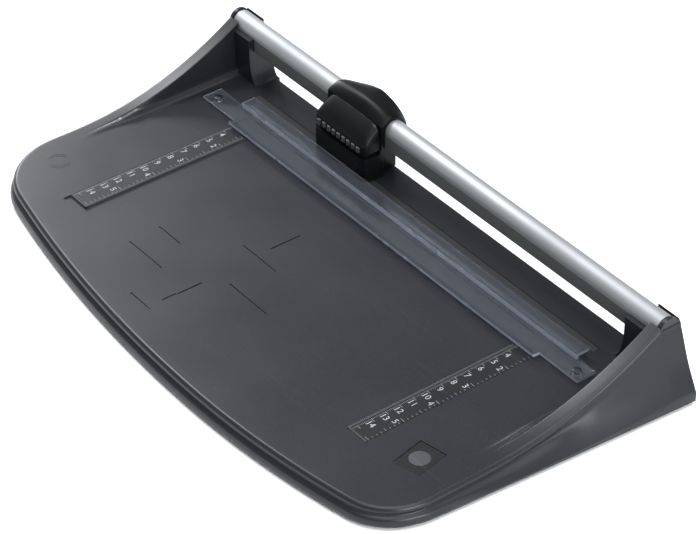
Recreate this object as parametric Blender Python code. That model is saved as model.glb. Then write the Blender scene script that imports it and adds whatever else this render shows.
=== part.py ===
"""Rotary paper trimmer for A4 sheets, as an assembly of separate pieces.

Frame: metres, +X along the rail to the right, +Y to the back, +Z up. The origin lies on the
table under the middle of the base. The base carries a rail between two cheeks; a cutter
carriage runs on the rail, its sprung button pushes a round blade on to a soft strip, and a
clear sprung clamp holds the paper in front of it.
"""

import math

import bmesh
import bpy
from mathutils import Matrix, Vector

# ---- fits -------------------------------------------------------------------------------
GAP = 0.0003  # between pieces that touch
SLIDE_GAP = 0.0004  # round the pieces that slide
HOLE_GAP = 0.00025  # round a shank or an axle, on the radius

# ---- base -------------------------------------------------------------------------------
RIM_HALF_WIDTH = 0.207  # to the rim of the deck, at the sides
REAR_Y = 0.115
FRONT_Y = -0.1148  # rim at the apex of the bowed front
BOW_APEX_X = 0.048  # the bow's deepest point lies right of the middle
BOW_RADIUS_LEFT = 0.963
BOW_RADIUS_RIGHT = 0.650
CORNER_RADIUS_LEFT = 0.050
CORNER_RADIUS_RIGHT = 0.036
DECK_Z = 0.014
BASE_BOTTOM_Z = 0.0015
DECK_WALL = 0.0025
SKIRT_WALL = 0.006  # solid edge left round the underside's cells
RIM_RADIUS = 0.003
FRONT_FLARE = 0.0022  # how far the skirt's foot stands outside the rim, at the front
REAR_FLARE = 0.0168  # and at the back of the cheeks
FLARE_START_Y = -0.075
CHEEK_START_Y = -0.028
CHEEK_TOP_Y = 0.100
CHEEK_POWER = 2.2  # how late the ridge rises
CHEEK_BAND = 0.0100  # width of the cheek's top
LEDGE_HEIGHT = 0.0035
LEDGE_WIDTH = 0.0030
CELL_PITCH = 0.0400
RIB = 0.0018
CHEEK_WALL = 0.0022  # inner wall of the cheeks' hollows
CHEEK_SKIN = 0.0035  # outer wall at their top
CHEEK_ROOF = 0.0015  # extra wall over them
CHEEK_CELL_MIN = 0.0040
SKIRT_FOOT_WALL = 0.0050
UNDER_Z = -0.0100  # where the cutters from below start

# ---- rail -------------------------------------------------------------------------------
RAIL_Y = REAR_Y - 0.0080
RAIL_WIDTH = 0.0136
RAIL_LIFT = 0.0400  # of the rail's top above the deck
RAIL_TOP_Z = DECK_Z + RAIL_LIFT
CHEEK_HEIGHT = RAIL_LIFT - 0.0035  # of the ridge above the deck, at the rail
RAIL_HEIGHT = 0.0085  # of the aluminium extrusion
RAIL_WALL = 0.0013
RAIL_HALF_LENGTH = RIM_HALF_WIDTH - 0.0045
RAIL_SLOT = 0.0068  # mouth of the extrusion's slot
RAIL_ROOF_EXTRA = 0.0012  # of wall over the extrusion's cavity
RAIL_CAVITY_BEVEL = 0.0018
GUIDE_HEIGHT = 0.0097
GUIDE_EDGE = 0.0006  # bevel of its lower edges
GUIDE_TONGUE = 0.0010  # thickness of the tongue inside the rail
PLUG_FLANGE = 0.0010
PLUG_REACH = 0.0180  # of the plug inside the extrusion
BLOCK_HALF_SPAN = RIM_HALF_WIDTH - 0.0265  # to the blocks that carry the rail
BLOCK_FILLET = 0.0075  # how far the block's foot reaches inwards
BLOCK_FRONT_Y = RAIL_Y - 0.0105
HOOK_HALF_SPAN = RIM_HALF_WIDTH - 0.0185
HOOK_SETBACK = 0.0006  # of the blocks and hooks from the base's back
HOOK_RISE = 0.0010  # above the rail
END_CAP_RIM = 0.0006  # of the cheek's arched end above the rail
END_CAP_SETBACK = 0.0008
REAR_GAP_SETBACK = 0.0023  # of the deck's back between the blocks
BLOCK_OVERLAP = 0.0020  # of the blocks and hooks into the cheeks
RAIL_SCREW_X = RAIL_HALF_LENGTH - 0.0100
RAIL_BOSS_RADIUS = 0.0052
RAIL_SCREW_RADIUS = 0.0015
RAIL_SCREW_HEAD_RADIUS = 0.0030
RAIL_SCREW_SEAT_Z = DECK_Z + 0.0100
RAIL_SCREW_HEAD = 0.0024

# ---- deck fittings ----------------------------------------------------------------------
RULER_X = RIM_HALF_WIDTH - 0.0668
RULER_WIDTH = 0.0144
RULER_FRONT_Y = -0.063
RULER_REAR_Y = 0.058
RULER_THICKNESS = 0.0010
FIELD_DEPTH = 0.0008  # of the shallow field between the rulers
FIELD_FRONT_Y = -0.070
FIELD_REAR_Y = 0.072
STRIP_HALF_LENGTH = BLOCK_HALF_SPAN - 0.0155
STRIP_WIDTH = 0.0050
STRIP_THICKNESS = 0.0012
BADGE_X = RIM_HALF_WIDTH - 0.0305  # middle of the empty label recess
BADGE_Y = -0.049
BADGE_SIZE = (0.0190, 0.0240)
BADGE_TURN = math.radians(11)
BADGE_DEPTH = 0.0006
FOOT_RADIUS = 0.0070
FOOT_THICKNESS = 0.0040
FOOT_STEM_RADIUS = 0.0020
FOOT_STEM_LENGTH = 0.0030
FOOT_BOSS_RADIUS = 0.0090
FOOT_PLACES = {
    "front_left": (-RIM_HALF_WIDTH + 0.0390, -0.066),
    "front_right": (RIM_HALF_WIDTH - 0.0310, -0.066),
    "rear_left": (-RIM_HALF_WIDTH + 0.0070, 0.060),
    "rear_right": (RIM_HALF_WIDTH - 0.0070, 0.060),
    "front_middle": (0.020, -0.092),
    "rear_middle": (0.000, 0.100),
}

# ---- clamp ------------------------------------------------------------------------------
CLAMP_FLOAT = 0.0013  # above the deck, sprung
CLAMP_THICKNESS = 0.0018
CLAMP_LIP_Y = RAIL_Y - 0.0510
CLAMP_PLATE_FRONT_Y = CLAMP_LIP_Y + 0.0050
CLAMP_PLATE_REAR_Y = CLAMP_LIP_Y + 0.0190
CLAMP_SHELF_REAR_Y = CLAMP_LIP_Y + 0.0272
CLAMP_SHELF_RISE = 0.0034
CLAMP_LIP_SPAN = (-RIM_HALF_WIDTH + 0.0590, RIM_HALF_WIDTH - 0.0580)
CLAMP_PLATE_SPAN = (-RIM_HALF_WIDTH + 0.0245, RIM_HALF_WIDTH - 0.0250)
CLAMP_SHELF_SPAN = (-RIM_HALF_WIDTH + 0.0500, RIM_HALF_WIDTH - 0.0400)
CLAMP_PIN_X = RIM_HALF_WIDTH - 0.0320
CLAMP_PIN_Y = CLAMP_LIP_Y + 0.0110
CLAMP_PIN_FOOT_Z = 0.0040
CLAMP_PIN_RADIUS = 0.0014
CLAMP_PIN_HEAD_RADIUS = 0.0026
CLAMP_PIN_HEAD = 0.0011
CLAMP_LIP_RISE = 0.0008  # of the lip's front edge
CLAMP_LIP_BEVEL = 0.0010
CLAMP_SHELF_OVERLAP = 0.0040  # of the longer shelf into the plate
CLAMP_WELL_RADIUS = 0.0038
CLAMP_WELL_DEPTH = 0.0055
CLAMP_BOSS_RADIUS = 0.0062

# ---- carriage ---------------------------------------------------------------------------
CARRIAGE_X = -0.0706  # where it stands at rest
CARRIAGE_HALF_LENGTH = 0.0270  # of the saddle
GUARD_HALF_LENGTH = 0.0260  # of the lower body
GUARD_FRONT_Y = RAIL_Y - 0.0227
GUARD_BOTTOM_Z = DECK_Z + 0.0012
GUARD_SHOULDER_DROP = 0.0035  # of its shoulder under the rail guide
GUARD_REAR_Y = RAIL_Y - 0.0070
GUARD_CORNER = 0.0040
TAIL_HALF_LENGTH = 0.0220
TAIL_REAR_Y = RAIL_Y + 0.0055
GUARD_FLOOR = 0.0012
SADDLE_REAR_Y = RAIL_Y + 0.0100
SADDLE_SIDE_Z = RAIL_TOP_Z + 0.0017  # of its ends, over the rail
SADDLE_TOP_Z = RAIL_TOP_Z + 0.0058
SADDLE_CROWN_Y = RAIL_Y - 0.0020
SADDLE_CROWN_SHIFT = 0.0018  # of its highest place to the right of its middle
SADDLE_FRONT_TOP_Z = RAIL_TOP_Z - 0.0008
SADDLE_FRONT_CROWN = 0.0005  # how much its front edge rises in the middle
SADDLE_REAR_TOP_Z = RAIL_TOP_Z + 0.0056
SADDLE_REAR_SIDE_Z = RAIL_TOP_Z - 0.0085
SADDLE_REAR_BOTTOM_Z = RAIL_TOP_Z - 0.0197
SADDLE_LEG_INSET = 0.0030  # of the leg behind the rail from the saddle's ends
SHOE_THICKNESS = 0.0009
SHOE_HALF_LENGTH = 0.0120
SHOE_HEIGHT = 0.0080
CARRIAGE_SCREW_X = 0.0205
CARRIAGE_SCREW_RADIUS = 0.0010
CARRIAGE_SCREW_HEAD_RADIUS = 0.0018
CARRIAGE_SCREW_SEAT_Z = DECK_Z + 0.0100
CARRIAGE_SCREW_HEAD = 0.0016
CARRIAGE_SCREW_BITE = 0.0060

# ---- button and blade -------------------------------------------------------------------
BUTTON_TRAVEL = 0.0032
BUTTON_HALF_LENGTH = 0.0255
BUTTON_FRONT_Y = RAIL_Y - 0.0224
BUTTON_REAR_Y = RAIL_Y - 0.0104
BUTTON_WALL = 0.0015
BUTTON_ROOF = 0.0022
BUTTON_RIM = 0.0035  # height of the upright rim under the slanted face
BUTTON_CORNER = 0.0045
BLADE_Y = RAIL_Y - 0.0165
BLADE_RADIUS = 0.0120
BLADE_THICKNESS = 0.0004
BLADE_BEVEL = 0.0014
BLADE_SHOWN = 0.0040  # of the blade that may pass the guard's floor
BLADE_LIFT = 0.0034  # of its edge above the strip, at rest
HUB_RADIUS = 0.0042
HUB_FLANGE_RADIUS = 0.0064
HUB_FLANGE = 0.0006
AXLE_RADIUS = 0.0014
AXLE_HEAD_RADIUS = 0.0024
AXLE_HEAD = 0.0006
HOLDER_PLATE = 0.0010
HOLDER_HALF_LENGTH = 0.0060
HOLDER_MARGIN = 0.0012  # of its arms below the axle's head
CLIP_RADIUS = 0.0026
CLIP_THICKNESS = 0.0005
CLIP_GROOVE = 0.0004
BUTTON_SPRING_X = 0.0190
BUTTON_SPRING_RADIUS = 0.0020
BUTTON_SPRING_WIRE = 0.00035
BUTTON_SPRING_SEAT_Z = DECK_Z + 0.0100
BUTTON_SPRING_TOP_Z = RAIL_TOP_Z - 0.0134
BUTTON_SPRING_TURNS = 6
CLAMP_SPRING_WIRE = 0.00035
CLAMP_SPRING_TURNS = 3

# ---- values worked out from the above ---------------------------------------------------
RAIL_BOTTOM_Z = RAIL_TOP_Z - RAIL_HEIGHT
RAIL_FRONT_Y = RAIL_Y - RAIL_WIDTH / 2
RAIL_REAR_Y = RAIL_Y + RAIL_WIDTH / 2
GUIDE_BOTTOM_Z = RAIL_BOTTOM_Z - GAP - GUIDE_HEIGHT
GUIDE_HALF_LENGTH = BLOCK_HALF_SPAN - GAP
SOCKET_HALF_LENGTH = RAIL_HALF_LENGTH + GAP + PLUG_FLANGE + GAP
CHEEK_INNER_X = RIM_HALF_WIDTH - CHEEK_BAND
SADDLE_FRONT_Y = BUTTON_REAR_Y + SLIDE_GAP
GUARD_TOP_Z = GUIDE_BOTTOM_Z - 2 * GAP
GUARD_SHOULDER_Z = GUIDE_BOTTOM_Z - GUARD_SHOULDER_DROP
BUTTON_BOTTOM_Z = GUARD_SHOULDER_Z + BUTTON_TRAVEL + GAP
BLADE_Z = DECK_Z + BLADE_LIFT + BLADE_RADIUS
HOLDER_BRIDGE_Z = BLADE_Z + BLADE_RADIUS + 2 * GAP  # underside of the bridge over the blade
POCKET_HALF_LENGTH = BLADE_RADIUS + 2 * SLIDE_GAP
HUB_BORE_RADIUS = AXLE_RADIUS + HOLE_GAP
HUB_HALF_WIDTH = BLADE_THICKNESS / 2 + GAP + HUB_FLANGE
HOLDER_FRONT_Y = BLADE_Y - HUB_HALF_WIDTH - GAP - HOLDER_PLATE
HOLDER_REAR_Y = BLADE_Y + HUB_HALF_WIDTH + GAP + HOLDER_PLATE
AXLE_FRONT_Y = HOLDER_FRONT_Y - GAP
AXLE_REAR_Y = HOLDER_REAR_Y + GAP + CLIP_THICKNESS
POCKET_FRONT_Y = AXLE_FRONT_Y - AXLE_HEAD - GAP
POCKET_REAR_Y = AXLE_REAR_Y + 2 * GAP
CLAMP_BOTTOM_Z = DECK_Z + CLAMP_FLOAT
SCREW_Y = (SADDLE_FRONT_Y + RAIL_FRONT_Y) / 2
ROUND_SIDES = 24


# ---- helpers ----------------------------------------------------------------------------
def clear_scene():
    for obj in list(bpy.data.objects):
        bpy.data.objects.remove(obj, do_unlink=True)


def make_material(name, colour, roughness, metallic=0.0, alpha=1.0):
    """A Principled material with the piece's colour, roughness and metallic value."""
    material = bpy.data.materials.new(name)
    material.use_nodes = True
    shader = material.node_tree.nodes["Principled BSDF"]
    shader.inputs["Base Color"].default_value = (*colour, 1.0)
    shader.inputs["Roughness"].default_value = roughness
    shader.inputs["Metallic"].default_value = metallic
    shader.inputs["Alpha"].default_value = alpha
    return material


def add_object(name, bm, material=None, parent=None, origin=(0.0, 0.0, 0.0)):
    """Turns a bmesh in world coordinates into an object whose origin lies at `origin`."""
    bmesh.ops.recalc_face_normals(bm, faces=bm.faces)
    bmesh.ops.translate(bm, verts=bm.verts, vec=-Vector(origin))
    mesh = bpy.data.meshes.new(name)
    bm.to_mesh(mesh)
    bm.free()
    mesh.shade_smooth()
    mesh.set_sharp_from_angle(angle=math.radians(35))
    obj = bpy.data.objects.new(name, mesh)
    bpy.context.scene.collection.objects.link(obj)
    obj.location = origin
    if material:
        mesh.materials.append(material)
    if parent:
        obj.parent = parent
        obj.matrix_parent_inverse = Matrix.Translation(-parent.location)
    return obj


def add_empty(name, place, parent=None):
    """An empty on a joint's axis, which carries the pieces of one moving body."""
    empty = bpy.data.objects.new(name, None)
    bpy.context.scene.collection.objects.link(empty)
    empty.location = place
    empty.empty_display_size = 0.01
    if parent:
        empty.parent = parent
        empty.location = Vector(place) - parent.location
    return empty


def box(low, high):
    """A box between two corners."""
    bm = bmesh.new()
    bmesh.ops.create_cube(bm, size=1.0)
    size = [high[i] - low[i] for i in range(3)]
    middle = [(high[i] + low[i]) / 2 for i in range(3)]
    bmesh.ops.scale(bm, vec=size, verts=bm.verts)
    bmesh.ops.translate(bm, vec=middle, verts=bm.verts)
    return bm


def prism(outline, low, high, axis):
    """An outline extruded from `low` to `high` along an axis.

    The outline's points are (y, z) for axis X, (x, z) for axis Y and (x, y) for axis Z.
    """
    places = {
        "X": lambda a, b, c: (c, a, b),
        "Y": lambda a, b, c: (a, c, b),
        "Z": lambda a, b, c: (a, b, c),
    }
    bm = bmesh.new()
    lower = [bm.verts.new(places[axis](a, b, low)) for a, b in outline]
    upper = [bm.verts.new(places[axis](a, b, high)) for a, b in outline]
    bm.faces.new(lower)
    bm.faces.new(upper)
    count = len(outline)
    for i in range(count):
        after = (i + 1) % count
        bm.faces.new((lower[i], lower[after], upper[after], upper[i]))
    return bm


def cylinder(centre, radius, low, high, axis="Z", sides=ROUND_SIDES):
    """A round bar; `centre` is the pair of coordinates across its axis."""
    outline = [
        (
            centre[0] + radius * math.cos(2 * math.pi * i / sides),
            centre[1] + radius * math.sin(2 * math.pi * i / sides),
        )
        for i in range(sides)
    ]
    return prism(outline, low, high, axis)


def turned(profile, place, axis="Z", sides=ROUND_SIDES):
    """A turned solid: (radius, height) points, closed on itself where it has a bore."""
    bm = bmesh.new()
    bored = all(radius > 0 for radius, _ in profile)
    rings = []
    for radius, height in profile:
        if radius == 0:
            rings.append([bm.verts.new((0, 0, height))])
            continue
        angles = [2 * math.pi * i / sides for i in range(sides)]
        places = [(radius * math.cos(a), radius * math.sin(a), height) for a in angles]
        rings.append([bm.verts.new(spot) for spot in places])
    pairs = list(zip(rings, rings[1:]))
    if bored:
        pairs.append((rings[-1], rings[0]))
    for lower, upper in pairs:
        for i in range(sides):
            after = (i + 1) % sides
            corners = [lower[i % len(lower)], lower[after % len(lower)]]
            corners += [upper[after % len(upper)], upper[i % len(upper)]]
            bm.faces.new(list(dict.fromkeys(corners)))
    if axis == "Y":
        quarter = Matrix.Rotation(math.radians(-90), 3, "X")
        bmesh.ops.rotate(bm, cent=(0, 0, 0), matrix=quarter, verts=bm.verts)
    bmesh.ops.translate(bm, vec=place, verts=bm.verts)
    return bm


def coil(place, radius, wire, low, high, turns, steps=12, sides=6):
    """A compression spring standing along Z, as a wire swept along a helix."""
    bm = bmesh.new()
    count = turns * steps
    rise = high - low - 2 * wire
    rings = []
    for i in range(count + 1):
        angle = 2 * math.pi * i / steps
        outward = Vector((math.cos(angle), math.sin(angle), 0))
        middle = Vector(place) + outward * radius + Vector((0, 0, low + wire + rise * i / count))
        ring = []
        for k in range(sides):
            around = 2 * math.pi * k / sides
            reach = outward * math.cos(around) + Vector((0, 0, math.sin(around)))
            ring.append(bm.verts.new(middle + wire * reach))
        rings.append(ring)
    for lower, upper in zip(rings, rings[1:]):
        for k in range(sides):
            after = (k + 1) % sides
            bm.faces.new((lower[k], lower[after], upper[after], upper[k]))
    bm.faces.new(rings[0])
    bm.faces.new(rings[-1])
    return bm


def rounded_rectangle(low, high, radius, steps=5, corners=(True, True, True, True)):
    """An outline with arcs at the chosen corners, from the lower left, turning left."""
    centres = (
        (low[0] + radius, low[1] + radius, 180),
        (high[0] - radius, low[1] + radius, 270),
        (high[0] - radius, high[1] - radius, 0),
        (low[0] + radius, high[1] - radius, 90),
    )
    sharp = ((low[0], low[1]), (high[0], low[1]), (high[0], high[1]), (low[0], high[1]))
    points = []
    for i, (x, y, start) in enumerate(centres):
        if not corners[i]:
            points.append(sharp[i])
            continue
        for k in range(steps + 1):
            angle = math.radians(start + 90 * k / steps)
            points.append((x + radius * math.cos(angle), y + radius * math.sin(angle)))
    return points


def height_solid(xs, ys, top, bottom):
    """A solid over a grid of (x, y) places, between two heights given by functions."""
    bm = bmesh.new()
    upper = [[bm.verts.new((x, y, top(x, y))) for x in xs] for y in ys]
    lower = [[bm.verts.new((x, y, bottom(x, y))) for x in xs] for y in ys]
    rows, columns = len(ys), len(xs)
    for j in range(rows - 1):
        for i in range(columns - 1):
            for sheet in (upper, lower):
                bm.faces.new((sheet[j][i], sheet[j][i + 1], sheet[j + 1][i + 1], sheet[j + 1][i]))
    edge = [(0, i) for i in range(columns)]
    edge += [(j, columns - 1) for j in range(1, rows)]
    edge += [(rows - 1, i) for i in range(columns - 2, -1, -1)]
    edge += [(j, 0) for j in range(rows - 2, 0, -1)]
    for (j, i), (jj, ii) in zip(edge, edge[1:] + edge[:1]):
        bm.faces.new((upper[j][i], upper[jj][ii], lower[jj][ii], lower[j][i]))
    bmesh.ops.triangulate(bm, faces=bm.faces)
    return bm


def combine(obj, other, operation):
    """A Boolean with a hidden helper; the helper follows the object."""
    cutter = add_object(f"helper_{obj.name}_{len(obj.modifiers)}", other)
    cutter.hide_render = True
    cutter.display_type = "WIRE"
    modifier = obj.modifiers.new(operation.lower(), "BOOLEAN")
    modifier.operation = operation
    modifier.solver = "EXACT"
    modifier.object = cutter


def cut(obj, other):
    combine(obj, other, "DIFFERENCE")


def join(obj, other):
    combine(obj, other, "UNION")


def merged(meshes):
    """Several closed shapes that don't touch, as one cutter."""
    whole = bmesh.new()
    for part in meshes:
        mesh = bpy.data.meshes.new("scratch")
        bmesh.ops.recalc_face_normals(part, faces=part.faces)
        part.to_mesh(mesh)
        part.free()
        whole.from_mesh(mesh)
        bpy.data.meshes.remove(mesh)
    return whole


# ---- base -------------------------------------------------------------------------------
def cheek_rise(y):
    """Height of the cheek's ridge above the deck."""
    share = (y - CHEEK_START_Y) / (CHEEK_TOP_Y - CHEEK_START_Y)
    return CHEEK_HEIGHT * min(1.0, max(0.0, share)) ** CHEEK_POWER


def flare(y):
    """How far the skirt's foot stands outside the rim."""
    share = min(1.0, max(0.0, (y - FLARE_START_Y) / (REAR_Y - FLARE_START_Y)))
    return FRONT_FLARE + (REAR_FLARE - FRONT_FLARE) * share ** 0.9


def corner_stations(side, bow_radius, corner_radius, steps=7):
    """(x, y, outward angle) round one front corner, from the side to the bow."""
    centre_x = side * (RIM_HALF_WIDTH - corner_radius)
    across = centre_x - BOW_APEX_X
    bow_y = FRONT_Y + bow_radius
    centre_y = bow_y - math.sqrt((bow_radius - corner_radius) ** 2 - across**2)
    last = math.atan2(centre_y - bow_y, across)
    first = 0.0 if side > 0 else -math.pi
    return [
        (
            centre_x + corner_radius * math.cos(angle),
            centre_y + corner_radius * math.sin(angle),
            angle,
        )
        for angle in (first + (last - first) * i / steps for i in range(steps + 1))
    ]


def side_rows(front):
    """Y places down one side, closer together where the ridge climbs."""
    count = 22
    rows = [REAR_Y + (front - REAR_Y) * (i / count) ** 1.25 for i in range(count)]
    return [y for y in rows if abs(y - CHEEK_TOP_Y) > 0.002] + [CHEEK_TOP_Y]


def rim_stations():
    """The rim from the back of the left side, round the front, to the back of the right."""
    left = corner_stations(-1, BOW_RADIUS_LEFT, CORNER_RADIUS_LEFT)
    right = corner_stations(1, BOW_RADIUS_RIGHT, CORNER_RADIUS_RIGHT)
    stations = [(-RIM_HALF_WIDTH, y, -math.pi) for y in sorted(side_rows(left[0][1]), reverse=True)]
    stations += left
    for x, bow_radius in [(x, BOW_RADIUS_LEFT) for x in spaced(left[-1][0], BOW_APEX_X, 7)] + [
        (x, BOW_RADIUS_RIGHT) for x in spaced(BOW_APEX_X, right[-1][0], 5)
    ]:
        angle = -math.pi / 2 + math.asin((x - BOW_APEX_X) / bow_radius)
        stations.append((x, FRONT_Y + bow_radius * (1 + math.sin(angle)), angle))
    stations += right[::-1]
    stations += [(RIM_HALF_WIDTH, y, 0.0) for y in sorted(side_rows(right[0][1]))]
    return stations


def spaced(start, end, count):
    """`count` places from start to end, leaving out both ends at the start of the range."""
    return [start + (end - start) * (i + 0.5) / count for i in range(count)]


def base_section(y):
    """(offset outwards from the rim, z) points, from the deck over the rim to the bottom."""
    rise = cheek_rise(y)
    foot = flare(y)
    ledge = min(rise, LEDGE_HEIGHT)
    top = DECK_Z + rise
    share = rise / CHEEK_HEIGHT
    groove = max(0.0, 1 - 3 * share)
    inner = -CHEEK_BAND
    crease = inner - LEDGE_WIDTH
    edge = min(0.0008, 0.4 * rise)
    return [
        (crease - 0.0040, DECK_Z),
        (crease - 0.0014, DECK_Z + 0.25 * ledge),
        (crease, DECK_Z + ledge),
        (inner - 0.0006, DECK_Z + ledge),
        (inner, top - edge),
        (inner + 0.0007, top),
        (-RIM_RADIUS, top),
        (-0.3 * RIM_RADIUS, top - 0.3 * RIM_RADIUS),
        (0.0, top - RIM_RADIUS),
        (-0.0010 * groove + 0.16 * foot * (1 - groove), top - 0.0052 - 0.14 * rise),
        (0.0003 * groove + (0.5 - 0.05 * groove) * foot, BASE_BOTTOM_Z + 0.0052 + 0.50 * rise),
        (foot, BASE_BOTTOM_Z + 0.0022 + 0.12 * rise),
        (foot - 0.0010, BASE_BOTTOM_Z),
        (crease - 0.0040, BASE_BOTTOM_Z),
    ]


def base_body():
    """The moulding before its cells and holes: sections swept round three sides."""
    bm = bmesh.new()
    rows = []
    for x, y, angle in rim_stations():
        out_x, out_y = math.cos(angle), math.sin(angle)
        rows.append([bm.verts.new((x + out_x * s, y + out_y * s, z)) for s, z in base_section(y)])
    for row, following in zip(rows, rows[1:]):
        for k in range(len(row) - 1):
            bm.faces.new((row[k], row[k + 1], following[k + 1], following[k]))
    bm.faces.new([row[0] for row in rows])
    bm.faces.new([row[-1] for row in rows])
    bm.faces.new(rows[0] + rows[-1][::-1])
    return bm


def rail_outline(clearance=0.0, bottom=RAIL_BOTTOM_Z, steps=10):
    """The rail's outside in (y, z): upright sides under a half-round top."""
    radius = RAIL_WIDTH / 2 + clearance
    centre_z = RAIL_TOP_Z - RAIL_WIDTH / 2
    arc = [
        (RAIL_Y + radius * math.cos(angle), centre_z + radius * math.sin(angle))
        for angle in (math.pi * i / steps for i in range(steps + 1))
    ]
    return arc + [(RAIL_Y - radius, bottom), (RAIL_Y + radius, bottom)]


def block_outline(side):
    """A rail block in (x, z), with a hollow curve down to its foot on the inner side."""
    steps = 6
    height = GUIDE_BOTTOM_Z - DECK_Z
    sunk = DECK_Z - 0.001
    inside = CHEEK_INNER_X + BLOCK_OVERLAP
    points = [(side * inside, sunk), (side * inside, RAIL_BOTTOM_Z)]
    points.append((side * BLOCK_HALF_SPAN, RAIL_BOTTOM_Z))
    for i in range(steps + 1):
        angle = math.pi / 2 * i / steps
        reach = BLOCK_FILLET * (1 - math.cos(angle))
        points.append((side * (BLOCK_HALF_SPAN - reach), GUIDE_BOTTOM_Z - height * math.sin(angle)))
    points.append((side * (BLOCK_HALF_SPAN - BLOCK_FILLET), sunk))
    return points


def rail_hook(side):
    """The lip of the cheek that stands behind the rail's end."""
    left, right = sorted((side * HOOK_HALF_SPAN, side * (CHEEK_INNER_X + BLOCK_OVERLAP)))
    low = (left, RAIL_REAR_Y, RAIL_BOTTOM_Z - 0.001)
    return box(low, (right, REAR_Y - HOOK_SETBACK, RAIL_TOP_Z + HOOK_RISE))


def edge_y(x):
    """Y of the rim's front edge at x, for the cells to stay clear of."""
    side = 1 if x > BOW_APEX_X else -1
    bow_radius = BOW_RADIUS_RIGHT if side > 0 else BOW_RADIUS_LEFT
    corner_radius = CORNER_RADIUS_RIGHT if side > 0 else CORNER_RADIUS_LEFT
    corner = corner_stations(side, bow_radius, corner_radius)
    if abs(x) > abs(corner[-1][0]) and x * side > 0:
        centre_x = side * (RIM_HALF_WIDTH - corner_radius)
        across = min(corner_radius, abs(x - centre_x))
        return corner[0][1] - math.sqrt(max(0.0, corner_radius**2 - across**2))
    return FRONT_Y + bow_radius - math.sqrt(bow_radius**2 - (x - BOW_APEX_X) ** 2)


def deck_cells():
    """The open cells under the deck, between ribs."""
    limit_x = CHEEK_INNER_X - LEDGE_WIDTH - 0.005
    columns = math.ceil(2 * limit_x / CELL_PITCH)
    depth = REAR_Y - SKIRT_WALL - FRONT_Y
    rows = math.ceil(depth / CELL_PITCH)
    cells = []
    for i in range(columns):
        left = -limit_x + 2 * limit_x * i / columns + RIB / 2
        right = -limit_x + 2 * limit_x * (i + 1) / columns - RIB / 2
        start = max(edge_y(left), edge_y(right)) + SKIRT_WALL
        for j in range(rows):
            front = max(start, FRONT_Y + depth * j / rows + RIB / 2)
            rear = FRONT_Y + depth * (j + 1) / rows - RIB / 2
            if rear - front < SKIRT_WALL:
                continue
            cells.append(box((left, front, UNDER_Z), (right, rear, DECK_Z - DECK_WALL)))
    return cells


def cheek_cells(side):
    """The tapered hollows inside one cheek, in two rows, each lower than the ridge over it."""
    cells = []
    depth = REAR_Y - SKIRT_WALL - CHEEK_START_Y
    count = math.ceil(depth / CELL_PITCH)
    inner = CHEEK_INNER_X + CHEEK_WALL
    top_outer = RIM_HALF_WIDTH - CHEEK_SKIN
    sill = BASE_BOTTOM_Z + 0.002
    for j in range(count):
        front = CHEEK_START_Y + depth * j / count + RIB / 2
        rear = CHEEK_START_Y + depth * (j + 1) / count - RIB / 2
        top = DECK_Z + cheek_rise(front) - DECK_WALL - CHEEK_ROOF
        if rear > BLOCK_FRONT_Y:
            top = min(top, RAIL_SCREW_SEAT_Z)
        foot_outer = RIM_HALF_WIDTH + flare(front) - SKIRT_FOOT_WALL
        rib_x = max(top_outer, (inner + foot_outer) / 2)
        slope = (sill - top) / (foot_outer - top_outer)
        roof = top + slope * (rib_x - RIB / 2 - top_outer)
        outline = [(inner, UNDER_Z), (rib_x - RIB / 2, UNDER_Z), (rib_x - RIB / 2, min(top, roof))]
        if roof < top:
            outline.append((top_outer, top))
        outline.append((inner, top))
        cells.append(prism([(side * x, z) for x, z in outline], front, rear, "Y"))
        if foot_outer - rib_x < CHEEK_CELL_MIN:
            continue
        roof = top + slope * (rib_x + RIB / 2 - top_outer)
        start = rib_x + RIB / 2
        outline = [(start, UNDER_Z), (foot_outer, UNDER_Z), (foot_outer, sill), (start, roof)]
        cells.append(prism([(side * x, z) for x, z in outline], front, rear, "Y"))
    return cells


def badge_outline():
    """The label recess in (x, y): a rectangle turned to follow the corner of the deck."""
    half_x, half_y = BADGE_SIZE[0] / 2, BADGE_SIZE[1] / 2
    across = (math.cos(BADGE_TURN), math.sin(BADGE_TURN))
    corners = [(-half_x, -half_y), (half_x, -half_y), (half_x, half_y), (-half_x, half_y)]
    return [(BADGE_X + a * across[0] - b * across[1], BADGE_Y + a * across[1] + b * across[0]) for a, b in corners]


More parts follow.
